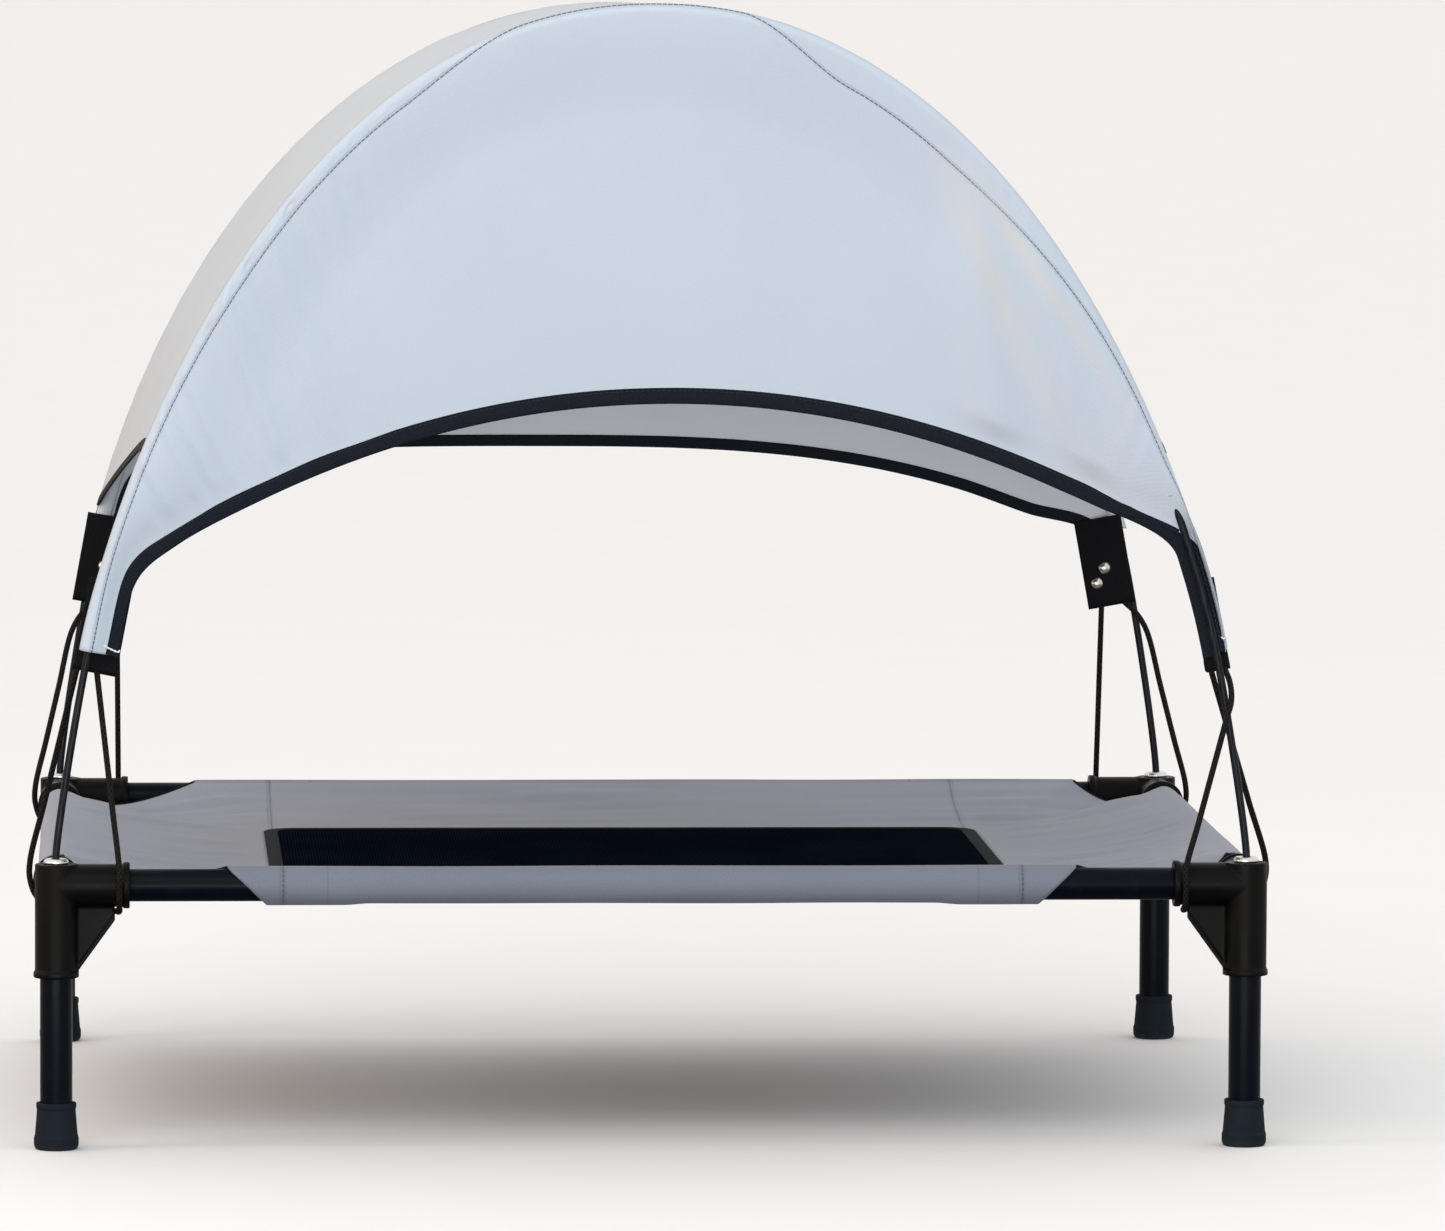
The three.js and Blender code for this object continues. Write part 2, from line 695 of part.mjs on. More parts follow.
function tabGeometry(place, { from, to, length }, rivets) {
  const depth = TAB.thickness;
  const level = (b) => [place(from, 0, b), place(to, 0, b), place(to, length, b), place(from, length, b)];
  const near = level(TAB.inset - depth / 2);
  const corners = near.map((p) => new THREE.Vector2(p.x, p.z));
  const options = { depth, bevelEnabled: false };
  const plate = new THREE.ExtrudeGeometry(new THREE.Shape(corners), options);
  plate.rotateX(Math.PI / 2).translate(0, place(0, 0, TAB.inset).y + depth / 2, 0);
  let solid = solidOf(plate);
  for (const rivet of rivets) {
    const hole = barZ(RIVET.shank + FIT, -depth, depth, POLE.sides);
    solid = solid.subtract(solidOf(pointAlongY(hole, rivet)));
  }
  return geometryOf(solid);
}

function rivetGeometry() {
  const face = TAB.thickness / 2 + FIT / 3;
  const top = face + RIVET.headHeight;
  const back = face + 0.8;
  const profile = [
    [0, -back],
    [RIVET.head * 0.8, -back],
    [RIVET.head * 0.8, -face],
    [RIVET.shank, -face],
    [RIVET.shank, face],
    [RIVET.head, face],
    [RIVET.head * 0.7, top - 0.4],
    [0, top],
  ];
  return turned(profile, POLE.sides);
}

// How the two strands of each loop leave the tab, in the tab's own frame (n, s, b): the long strand
// goes to the long rail's socket and the short strand to the short rail's.
const STRAIGHT = { long: [[8, -2, 6.5]], short: [[-5, -2, 6.5]] };
const ROUND_THE_POLE = {
  long: [[-4, -2, 6.5], [-5.5, -13, 2], [-3.5, -24, -5], [2, -35, -7.5]],
  short: [[5, -2, 6.5]],
};
const OUTWARDS = { long: [[23, -2, 6.5]], short: [[7, -2, 6.5], [-1, -13, 8], [-5.5, -26, 11]] };
const STRANDS = {
  front_left: STRAIGHT,
  front_right: ROUND_THE_POLE,
  rear_left: OUTWARDS,
  rear_right: OUTWARDS,
};

// The route of an elastic loop, from the tab down over the long rail's socket, under the corner and
// up outside the short rail's socket; the points under the corner are in the corner's own coordinates.
function loopRoute(corner, place) {
  const hook = CONNECTOR.radius + LOOP.radius + LOOP.clear;
  const diagonal = hook * Math.SQRT1_2;
  const { grip, low, hookTop } = LOOP;
  const under = [
    [grip, -hook, hookTop],
    [grip, -hook, RAIL_Z],
    [grip, -diagonal, RAIL_Z - diagonal],
    [grip, 0, RAIL_Z - hook],
    [37, 14, low],
    [27, 27, low - 0.6],
    [14, 37, low],
    [0, grip, RAIL_Z - hook],
    [-diagonal, grip, RAIL_Z - diagonal],
    [-hook, grip, RAIL_Z],
    [-hook, grip, hookTop],
  ].map(([a, b, z]) => fromCorner(corner, a, b, z));
  const [long, short] = [STRANDS[corner.name].long, STRANDS[corner.name].short].map((strand) =>
    strand.map(([n, s, b]) => place(n, s, b)),
  );
  const straight = (from, to) => [0.35, 0.7].map((share) => from.clone().lerp(to, share));
  const down = straight(long.at(-1), under[0]);
  const up = straight(short.at(-1), under.at(-1));
  const route = [...long, ...down, ...under, ...up.reverse(), ...short.reverse()];
  return new THREE.CatmullRomCurve3(route, false, "centripetal");
}

for (const corner of CORNERS) {
  const archName = corner.y < 0 ? "front" : "rear";
  const arch = ARCHES[archName];
  const place = tabFrame(corner, arch, poleLines[archName]);
  const rivets = [
    place(arch.tab.rivet, TAB.rivetHigh, TAB.inset),
    place(arch.tab.rivet + RIVET.spread, TAB.rivetLow, TAB.inset),
  ];
  addPart(`corner_tab_${corner.name}`, tabGeometry(place, arch.tab, rivets), "webbing");
  for (const [i, level] of ["upper", "lower"].entries()) {
    const rivet = corner.y < 0 ? rivetGeometry().rotateX(Math.PI) : rivetGeometry();
    addPart(`rivet_${level}_${corner.name}`, pointAlongY(rivet, rivets[i]), "silver");
  }
  const loop = follow(loopRoute(corner, place), LOOP);
  addPart(`elastic_loop_${corner.name}`, loop, "elastic");
}

export default model;
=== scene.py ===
# Raised pet cot with a shade canopy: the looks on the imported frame.
# Shapes are worked out in millimetres in the frame's own axes and turned into metres at the end.
import math

import bmesh
import bpy
import numpy as np
from mathutils import Matrix, Vector


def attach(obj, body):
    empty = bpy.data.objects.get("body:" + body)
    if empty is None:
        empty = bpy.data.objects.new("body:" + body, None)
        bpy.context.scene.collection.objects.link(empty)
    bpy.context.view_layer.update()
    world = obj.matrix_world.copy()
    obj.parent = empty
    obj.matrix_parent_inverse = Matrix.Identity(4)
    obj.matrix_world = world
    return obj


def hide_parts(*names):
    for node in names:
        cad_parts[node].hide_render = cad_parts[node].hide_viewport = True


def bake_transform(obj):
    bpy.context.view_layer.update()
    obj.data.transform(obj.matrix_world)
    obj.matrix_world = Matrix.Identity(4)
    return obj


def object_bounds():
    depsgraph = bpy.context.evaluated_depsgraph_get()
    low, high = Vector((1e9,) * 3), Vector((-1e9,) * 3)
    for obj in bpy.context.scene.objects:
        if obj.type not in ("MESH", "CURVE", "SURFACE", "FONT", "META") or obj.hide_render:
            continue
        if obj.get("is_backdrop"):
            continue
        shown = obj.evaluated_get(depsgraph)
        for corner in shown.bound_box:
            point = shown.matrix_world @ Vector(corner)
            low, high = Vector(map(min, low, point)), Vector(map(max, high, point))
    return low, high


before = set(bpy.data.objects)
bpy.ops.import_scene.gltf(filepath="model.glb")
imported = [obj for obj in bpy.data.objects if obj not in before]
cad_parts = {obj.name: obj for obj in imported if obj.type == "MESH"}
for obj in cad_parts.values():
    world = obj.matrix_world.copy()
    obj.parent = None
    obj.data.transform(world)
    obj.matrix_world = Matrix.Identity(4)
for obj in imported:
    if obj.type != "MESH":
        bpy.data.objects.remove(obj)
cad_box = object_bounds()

MM = 0.001
X, Y = np.eye(3)[:2]
CORNERS = {
    "front_left": (-1, -1),
    "front_right": (1, -1),
    "rear_left": (-1, 1),
    "rear_right": (1, 1),
}

# ---- Camera -----------------------------------------------

YAW, PITCH, ROLL = 0.0582, 0.0779, 0.0043
CAMERA_PLACE = (-0.35906, -7.24081, 0.89441)


def add_camera():
    data = bpy.data.cameras.new("camera")
    data.lens = 263.95
    data.sensor_width = 36
    data.clip_end = 200
    camera = bpy.data.objects.new("camera", data)
    bpy.context.scene.collection.objects.link(camera)
    ahead = Vector(
        (math.sin(YAW) * math.cos(PITCH), math.cos(YAW) * math.cos(PITCH), -math.sin(PITCH))
    )
    level = Vector((math.cos(YAW), -math.sin(YAW), 0))
    up = level.cross(ahead)
    right = level * math.cos(ROLL) + up * math.sin(ROLL)
    top = up * math.cos(ROLL) - level * math.sin(ROLL)
    matrix = Matrix((right, top, -ahead)).transposed().to_4x4()
    matrix.translation = Vector(CAMERA_PLACE)
    camera.matrix_world = matrix
    bpy.context.scene.camera = camera


add_camera()

# ---- Dimensions, in millimetres, as in the CAD ------------

LEG_X, LEG_Y = 392.5, 303.5
RAIL_Z = 174.3
CORNER_TOP, CORNER_BOTTOM = 188.5, 113.5
POLE_TIP, POLE_MOUTH, STRAIGHT_TO = 167.4, 196.0, 150.0
SLEEVE_RADIUS, SLEEVE_OUTSIDE = 5.0, 5.2
CONNECTOR_RADIUS = 14.0
TUBE_BORE, TUBE_RADIUS = 9.4, 10.65
HEM_SPANS, HEM_START = 6, 0.92
TAB_FOOT, TAB_INSET, TAB_THICKNESS = 130.0, 6.5, 1.8
LOOP_RADIUS, LOOP_CLEAR, LOOP_GRIP, LOOP_LOW, LOOP_TOP = 2.0, 1.4, 41.4, 156.2, 186.0
# side: -1 front, 1 rear.
# half to q: (x / half)^p + (h / rise)^q = 1, with h measured up from the corner tops.
# crown to power: hem height = crown - drop * (|x - centre| / span)^power, out to x = turn.
# There the hem turns down beside the pole, a gap away from its sleeve, and ends at tip.
# tape: the width of the hem's tape on each face.  tab: its two edges and its length.
ARCHES = {
    "front": dict(
        side=-1, half=390, rise=559.3, p=2.11, q=1.685, tip=140,
        crown=302.8, centre=12, drop=102, span=340, power=2.05, turn=340,
        gap=4, tape=10.7, tab=(-8, 21, 58), rivet=9.5,
    ),
    "rear": dict(
        side=1, half=387, rise=547.7, p=2.05, q=1.9, tip=132,
        crown=237.3, centre=-60, drop=52, span=368, power=3.05, turn=324,
        gap=5, tape=8.3, tab=(-1.5, 32.5, 60), rivet=16.5,
    ),
}

# ---- Curves -----------------------------------------------


def distances(points):
    """How far along a path each of its points lies."""
    steps = np.linalg.norm(np.diff(points, axis=0), axis=1)
    return np.concatenate([[0], np.cumsum(steps)])


class Curve:
    """A centripetal Catmull-Rom curve through points, by share of its length."""

    def __init__(self, points, fineness=40):
        p = np.array(points, float)
        p = np.vstack([2 * p[0] - p[1], p, 2 * p[-1] - p[-2]])
        line = []
        for a, b, c, d in zip(p, p[1:], p[2:], p[3:]):
            before, span, after = (
                max(np.linalg.norm(w - v) ** 0.5, 1e-4)
                for v, w in ((a, b), (b, c), (c, d))
            )
            t1 = (b - a) / before - (c - a) / (before + span) + (c - b) / span
            t2 = (c - b) / span - (d - b) / (span + after) + (d - c) / after
            t1, t2 = t1 * span, t2 * span
            for t in np.arange(fineness) / fineness:
                line.append(
                    b
                    + t1 * t
                    + (3 * c - 3 * b - 2 * t1 - t2) * t * t
                    + (2 * b - 2 * c + t1 + t2) * t**3
                )
        line.append(p[-2])
        self.line = np.array(line)
        self.reached = distances(self.line)
        self.length = self.reached[-1]

    def at(self, shares):
        where = np.atleast_1d(shares) * self.length
        return np.stack([np.interp(where, self.reached, axis) for axis in self.line.T], axis=1)

    def heading(self, shares):
        step = 1.5 / self.length
        shares = np.atleast_1d(shares)
        ahead = self.at(np.clip(shares + step, 0, 1)) - self.at(np.clip(shares - step, 0, 1))
        return ahead / np.linalg.norm(ahead, axis=1)[:, None]

    def share_at_height(self, h):
        low, high = 0.0, 0.5
        for _ in range(40):
            middle = (low + high) / 2
            if self.at(middle)[0, 2] < CORNER_TOP + h:
                low = middle
            else:
                high = middle
        return low


def pole_line(arch):
    start = math.asin((STRAIGHT_TO / arch["rise"]) ** (arch["q"] / 2))
    y = arch["side"] * LEG_Y
    upright = [POLE_TIP, (POLE_TIP + POLE_MOUTH) / 2, POLE_MOUTH]
    points = [(LEG_X, y, z) for z in upright]
    for angle in np.linspace(start, math.pi - start, 23):
        cosine = math.cos(angle)
        x = arch["half"] * math.copysign(abs(cosine) ** (2 / arch["p"]), cosine)
        points.append((x, y, CORNER_TOP + arch["rise"] * math.sin(angle) ** (2 / arch["q"])))
    points += [(-LEG_X, y, z) for z in reversed(upright)]
    return Curve(points)


LINES = {name: pole_line(arch) for name, arch in ARCHES.items()}


def beside_pole(line, shares, inwards):
    """Points beside a pole line, square to it within its own plane; positive is inwards."""
    heading = line.heading(shares)
    inward = np.stack([-heading[:, 2], np.zeros(len(heading)), heading[:, 0]], axis=1)
    return line.at(shares) + inward * np.reshape(inwards, (-1, 1))


def hem_height(arch, x):
    share = np.abs(x - arch["centre"]) / arch["span"]
    return arch["crown"] - arch["drop"] * share ** arch["power"]


def hem_line(arch, line):
    offset = SLEEVE_OUTSIDE + arch["gap"] + arch["tape"]

    def half(side):
        turn = hem_height(arch, side * arch["turn"])
        points = [
            beside_pole(line, line.share_at_height(h), offset)[0] * (side, 1, 1)
            for h in (arch["tip"], turn)
        ]
        for i in range(HEM_SPANS + 1):
            x = side * arch["turn"] * HEM_START * (1 - i / HEM_SPANS)
            points.append(np.array((x, arch["side"] * LEG_Y, CORNER_TOP + hem_height(arch, x))))
        return points

    return Curve(half(1) + half(-1)[::-1][1:])


HEMS = {name: hem_line(arch, LINES[name]) for name, arch in ARCHES.items()}


def from_corner(corner, a, b, z):
    x, y = CORNERS[corner]
    return np.array((x * (LEG_X - a), y * (LEG_Y - b), z))


def tab_frame(corner):
    """A tab's frame: n inwards square to the pole, s up along it, b towards the other arch."""
    name = corner.split("_")[0]
    x, y = CORNERS[corner]
    line = LINES[name]
    share = line.share_at_height(TAB_FOOT)
    foot, up = line.at(share)[0], line.heading(share)[0]
    inward = np.array((-up[2], 0, up[0]))

    def place(n, s, b):
        point = foot + inward * n + up * s
        return np.array((x * point[0], y * (LEG_Y - b), point[2]))

    return place


# ---- Meshes -----------------------------------------------


def mesh_piece(name, points, faces, uv=None):
    mesh = bpy.data.meshes.new(name)
    mesh.from_pydata((np.asarray(points, float) * MM).tolist(), [], faces)
    if uv is not None:
        corner_of = np.empty(len(mesh.loops), int)
        mesh.loops.foreach_get("vertex_index", corner_of)
        layer = mesh.uv_layers.new(name="cloth")
        layer.data.foreach_set("uv", (np.asarray(uv, float)[corner_of] * MM).ravel())
    mesh.shade_smooth()
    piece = bpy.data.objects.new(name, mesh)
    bpy.context.scene.collection.objects.link(piece)
    return piece


def grid_faces(rows, columns, closed_rows=False, closed_columns=False):
    faces = []
    for r in range(rows if closed_rows else rows - 1):
        for c in range(columns if closed_columns else columns - 1):
            r2, c2 = (r + 1) % rows, (c + 1) % columns
            faces.append((r * columns + c, r * columns + c2, r2 * columns + c2, r2 * columns + c))
    return faces


def cloth_uv(rows):
    """Distances along a grid's rows and down its columns, for a weave that doesn't stretch."""
    along = np.linalg.norm(np.diff(rows, axis=1), axis=2).mean(axis=0)
    down = np.linalg.norm(np.diff(rows, axis=0), axis=2)
    u = np.concatenate([[0], np.cumsum(along)])
    v = np.vstack([np.zeros(rows.shape[1]), np.cumsum(down, axis=0)])
    return np.stack([np.broadcast_to(u, v.shape), v], axis=2)


def thicken(piece, thickness):
    solidify = piece.modifiers.new("thickness", "SOLIDIFY")
    solidify.thickness = thickness * MM
    solidify.offset = 0
    solidify.use_even_offset = False
    return piece


def sheet_piece(name, rows, thickness, uv=None):
    rows = np.asarray(rows, float)
    uv = cloth_uv(rows) if uv is None else uv
    count, width = rows.shape[:2]
    piece = mesh_piece(
        name, rows.reshape(-1, 3), grid_faces(count, width), np.reshape(uv, (-1, 2))
    )
    return thicken(piece, thickness)


def frames_along(points):
    """Two directions square to a path at each of its points, with no sudden turns."""
    heading = np.gradient(points, axis=0)
    heading /= np.linalg.norm(heading, axis=1)[:, None]
    start = Y if abs(heading[0, 1]) < 0.9 else X
    side = start - heading[0] * (start @ heading[0])
    sides = []
    for h in heading:
        side = side - h * (side @ h)
        side = side / np.linalg.norm(side)
        sides.append(side)
    sides = np.array(sides)
    return sides, np.cross(heading, sides)


def tube_rows(points, radius, sides):
    """Rings round a path; radius may vary along it."""
    first, second = frames_along(points)
    radius = np.broadcast_to(radius, len(points))[:, None]
    turns = np.linspace(0, 2 * math.pi, sides, endpoint=False)
    return np.stack(
        [points + radius * (first * math.cos(t) + second * math.sin(t)) for t in turns],
        axis=1,
    )


def tube_piece(name, points, radius, sides):
    rows = tube_rows(points, radius, sides)
    count = len(points)
    reached = distances(points)
    round_it = np.linspace(0, 2 * math.pi * np.mean(radius), sides, endpoint=False)
    uv = np.stack(np.meshgrid(round_it, reached), axis=2)
    faces = grid_faces(count, sides, closed_columns=True)
    faces.append(tuple(reversed(range(sides))))
    faces.append(tuple(range((count - 1) * sides, count * sides)))
    return mesh_piece(name, rows.reshape(-1, 3), faces, uv.reshape(-1, 2))


def strip_piece(name, rows, section, run):
    """A closed strip with flat ends, from its section of (up, out) points at each step."""
    rows = np.array(rows)
    count, width = rows.shape[:2]
    uv = np.stack(np.meshgrid([up for up, _ in section], run), axis=2)[:, :, ::-1]
    faces = grid_faces(count, width, closed_columns=True)
    faces.append(tuple(range(width)))
    faces.append(tuple(count * width - 1 - i for i in range(width)))
    return mesh_piece(name, rows.reshape(-1, 3), faces, uv.reshape(-1, 2))


def welded(piece, distance):
    """Joins the points of a piece that lie closer together than a distance in metres."""
    weld = bmesh.new()
    weld.from_mesh(piece.data)
    bmesh.ops.remove_doubles(weld, verts=weld.verts, dist=distance)
    weld.to_mesh(piece.data)
    weld.free()
    return piece


def turned_piece(name, profile, sides=64):
    """A body of revolution about Z from (radius, height) points; radius 0 closes an end."""
    profile = np.asarray(profile, float)
    turns = np.linspace(0, 2 * math.pi, sides, endpoint=False)
    rows = [
        np.stack([r * np.cos(turns), r * np.sin(turns), np.full(sides, z)], axis=1)
        for r, z in profile
    ]
    reached = distances(profile)
    uv = np.stack(np.meshgrid(turns * profile[:, 0].max(), reached), axis=2)
    faces = grid_faces(len(profile), sides, closed_columns=True)
    piece = mesh_piece(name, np.reshape(rows, (-1, 3)), faces, uv.reshape(-1, 2))
    welded(piece, 1e-6).data.shade_smooth()
    return piece


def moved(piece, place, turn=None):
    """Moves a piece's own mesh, in millimetres."""
    matrix = Matrix.Translation(Vector(place) * MM)
    piece.data.transform(matrix if turn is None else matrix @ turn.to_4x4())
    return piece


def finished(piece, material, body, slot, *nodes):
    piece.data.materials.clear()
    piece.data.materials.append(material)
    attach(piece, body)
    if nodes:
        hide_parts(*nodes)
    return piece


def rounded(profile, size, steps=4):
    """Rounds the inner corners of a (radius, height) profile."""
    profile = [np.array(p, float) for p in profile]
    out = [profile[0]]
    for a, b, c in zip(profile, profile[1:], profile[2:]):
        back, ahead = a - b, c - b
        reach = min(size, np.linalg.norm(back) * 0.45, np.linalg.norm(ahead) * 0.45)
        start = b + back / np.linalg.norm(back) * reach
        end = b + ahead / np.linalg.norm(ahead) * reach
        for t in np.linspace(0, 1, steps + 1):
            out.append((1 - t) ** 2 * start + 2 * t * (1 - t) * b + t * t * end)
    out.append(profile[-1])
    return out


# ---- Materials --------------------------------------------


class Shader:
    """A node material with one Principled shader and small helpers."""

    def __init__(self, name, colour, roughness, **sockets):
        self.material = bpy.data.materials.new(name)
        self.material.use_nodes = True
        self.tree = self.material.node_tree
        self.shader = self.tree.nodes["Principled BSDF"]
        self.base = colour
        self.set(self.shader, "Roughness", roughness)
        self.set(self.shader, "Base Color", (*colour, 1))
        for socket, value in sockets.items():
            self.set(self.shader, socket.replace("_", " "), value)

    def gloss(self, level):
        self.shader.inputs["Specular IOR Level"].default_value = level

    def set(self, node, socket, value):
        if isinstance(value, bpy.types.NodeSocket):
            self.tree.links.new(value, node.inputs[socket])
        else:
            node.inputs[socket].default_value = value

    def node(self, kind, output=0, settings=None, **inputs):
        node = self.tree.nodes.new("ShaderNode" + kind)
        for name, value in (settings or {}).items():
            setattr(node, name, value)
        for socket, value in inputs.items():
            key = int(socket[1:]) if socket[1:].isdigit() else socket.replace("_", " ")
            self.set(node, key, value)
        return node.outputs[output]

    def math(self, operation, a, b=0.0, c=0.0):
        return self.node("Math", settings={"operation": operation}, i0=a, i1=b, i2=c)

    def object_place(self):
        return self.node("TexCoord", "Object")

    def cloth_place(self):
        return self.node("UVMap", settings={"uv_map": "cloth"})

    def noise(self, place, scale, detail=2.0, roughness=0.5, stretch=None):
        if stretch is not None:
            place = self.node(
                "VectorMath", settings={"operation": "MULTIPLY"}, i0=place, i1=stretch
            )
        return self.node(
            "TexNoise",
            Vector=place,
            Scale=scale,
            Detail=detail,
            Roughness=roughness,
        )

    def split(self, place):
        node = self.tree.nodes.new("ShaderNodeSeparateXYZ")
        self.set(node, "Vector", place)
        return tuple(node.outputs)

    def between(self, value, low, high, to_low=0.0, to_high=1.0):
        return self.node(
            "MapRange",
            Value=value,
            From_Min=low,
            From_Max=high,
            To_Min=to_low,
            To_Max=to_high,
        )

    def mix(self, factor, first, second, blend="MIX"):
        node = self.tree.nodes.new("ShaderNodeMix")
        node.data_type = "RGBA"
        node.blend_type = blend
        self.set(node, 0, factor)
        self.set(node, 6, first)
        self.set(node, 7, second)
        return node.outputs[2]

    def line_mask(self, value, centre, half_width):
        """1 on a line of that half-width and 0 beside it."""
        distance = self.math("ABSOLUTE", self.math("SUBTRACT", value, centre))
        return self.between(distance, half_width, half_width * 0.5)

    def dashes(self, value, period, share):
        phase = self.math("FRACT", self.math("DIVIDE", value, period))
        return self.math("LESS_THAN", phase, share)

    def colour(self, value):
        self.base_colour = value
        self.set(self.shader, "Base Color", value)

    def vary(self, value, low, high, first, second):
        """Goes from one colour to another as a value goes from low to high."""
        self.colour(self.mix(self.between(value, low, high), (*first, 1), (*second, 1)))

    def darken(self, share, factors):
        """The colour so far, multiplied by factors where share is 1."""
        darker = self.mix(1.0, self.base_colour, (*factors, 1), "MULTIPLY")
        self.colour(self.mix(share, self.base_colour, darker))

    def rough(self, value, low, high, least, most):
        self.set(self.shader, "Roughness", self.between(value, low, high, least, most))

    def bump(self, height, distance, strength=1.0, under=None):
        node = self.tree.nodes.new("ShaderNodeBump")
        self.set(node, "Height", height)
        node.inputs["Distance"].default_value = distance
        node.inputs["Strength"].default_value = strength
        if under is not None:
            self.set(node, "Normal", under)
        self.set(self.shader, "Normal", node.outputs[0])
        return node.outputs[0]

    def weave(self, place, period):
        """Height of a plain weave with threads a period apart."""
        u, v, _ = self.split(place)
        turn = 2 * math.pi / period
        warp = self.math("SINE", self.math("MULTIPLY", u, turn))
        weft = self.math("SINE", self.math("MULTIPLY", v, turn))
        return self.math("MULTIPLY_ADD", warp, weft, 0.5)


def shade(colour, factor):
    return tuple(min(1.0, c * factor) for c in colour[:3])


def cloth_material(name, colour, thread, period, mottle=0.05, rough=0.85, sheen=0.25):
    """Woven cloth: threads, heathered colour, soft mottling and sheen."""
    s = Shader(name, colour, rough, Sheen_Weight=sheen, Sheen_Roughness=0.5)
    s.gloss(0.2)
    cloth = s.cloth_place()
    weave = s.weave(cloth, period)
    fine = s.noise(cloth, 900.0, 3.0, 0.7)
    broad = s.noise(s.object_place(), 9.0, 3.0, 0.5)
    s.vary(fine, 0.35, 0.65, shade(colour, 1 - thread), shade(colour, 1 + thread))
    s.darken(s.between(broad, 0.3, 0.7), (1 - mottle,) * 3)
    s.rough(fine, 0.3, 0.7, rough - 0.06, rough + 0.08)
    s.normal = s.bump(weave, 0.00012, 0.6)
    return s


def seam(s, coordinate, centre, along, colour, width=0.0006, dash=(0.0034, 0.74)):
    """A sewn seam: a shallow groove with a row of stitches along it."""
    line = s.line_mask(coordinate, centre, width)
    thread = s.math("MULTIPLY", line, s.dashes(along, *dash))
    groove = s.line_mask(coordinate, centre, width * 4)
    # Darker along the seam's groove.
    groove_darkening = s.math("MULTIPLY", groove, 0.22)
    s.colour(s.mix(groove_darkening, s.base_colour, (*shade(s.base, 0.55), 1)))
    s.colour(s.mix(thread, s.base_colour, (*colour, 1)))
    s.normal = s.bump(s.math("SUBTRACT", thread, groove), 0.0005, 0.8, s.normal)


def steel_material():
    s = Shader("black_powder_coat", (0.002, 0.004, 0.007), 0.34)
    s.gloss(0.07)
    place = s.object_place()
    grain = s.noise(place, 1600.0, 2.0, 0.6)
    wear = s.noise(place, 45.0, 4.0, 0.6)
    s.rough(wear, 0.3, 0.75, 0.28, 0.44)
    s.vary(wear, 0.55, 0.8, (0.0015, 0.003, 0.006), (0.004, 0.0065, 0.0105))
    s.bump(grain, 0.00006, 0.6)
    return s.material


def plastic_material():
    s = Shader("moulded_black_plastic", (0.003, 0.0028, 0.0028), 0.42)
    s.gloss(0.09)
    place = s.object_place()
    grain = s.noise(place, 1100.0, 3.0, 0.6)
    broad = s.noise(place, 30.0, 3.0, 0.5)
    s.rough(broad, 0.3, 0.7, 0.36, 0.52)
    s.vary(broad, 0.4, 0.7, (0.002, 0.002, 0.0022), (0.0045, 0.0038, 0.0034))
    s.bump(grain, 0.0001, 0.5)
    return s.material


def rubber_material():
    s = Shader("foot_rubber", (0.008, 0.013, 0.018), 0.78)
    s.gloss(0.12)
    place = s.object_place()
    low = s.between(s.split(place)[2], 0.004, 0.0)
    dust = s.math("MULTIPLY", low, s.noise(place, 220.0, 4.0, 0.7))
    s.colour(s.mix(dust, (0.008, 0.013, 0.018, 1), (0.045, 0.043, 0.041, 1)))
    s.rough(s.noise(place, 90.0, 3.0, 0.6), 0.3, 0.7, 0.7, 0.88)
    s.bump(s.noise(place, 900.0, 3.0, 0.6), 0.0001, 0.6)
    return s.material


def metal_material(name, colour, roughness, scratch):
    s = Shader(name, colour, roughness, Metallic=1.0)
    place = s.object_place()
    rings = s.noise(place, 60.0, 2.0, 0.5, (1.0, 1.0, scratch))
    patina = s.noise(place, 130.0, 4.0, 0.6)
    s.vary(patina, 0.45, 0.75, colour, shade(colour, 0.72))
    s.rough(rings, 0.3, 0.7, roughness - 0.08, roughness + 0.12)
    s.bump(rings, 0.00003, 0.5)
    return s.material


def pole_material():
    s = Shader("dark_fibreglass", (0.007, 0.009, 0.012), 0.3)
    s.gloss(0.12)
    place = s.object_place()
    fibres = s.noise(place, 700.0, 2.0, 0.5, (1.0, 1.0, 0.03))
    s.vary(fibres, 0.35, 0.65, (0.004, 0.005, 0.008), (0.013, 0.016, 0.021))
    s.rough(s.noise(place, 60.0, 3.0, 0.6), 0.3, 0.7, 0.25, 0.4)
    s.bump(fibres, 0.00005, 0.5)
    return s.material


def elastic_material():
    """Braided elastic: two sets of slanting threads round the cord."""
    s = Shader("braided_elastic", (0.008, 0.007, 0.007), 0.62)
    s.gloss(0.1)
    u, v, _ = s.split(s.cloth_place())
    around = s.math("MULTIPLY", u, 4 / (LOOP_RADIUS * MM))
    rising = s.math("MULTIPLY", v, 2 * math.pi / 0.0042)
    first = s.math("SINE", s.math("ADD", around, rising))
    second = s.math("SINE", s.math("SUBTRACT", around, rising))
    braid = s.math("MAXIMUM", first, second)
    s.vary(braid, -0.2, 1.0, (0.003, 0.003, 0.003), (0.014, 0.0115, 0.0105))
    s.bump(braid, 0.00025, 0.8)
    return s.material


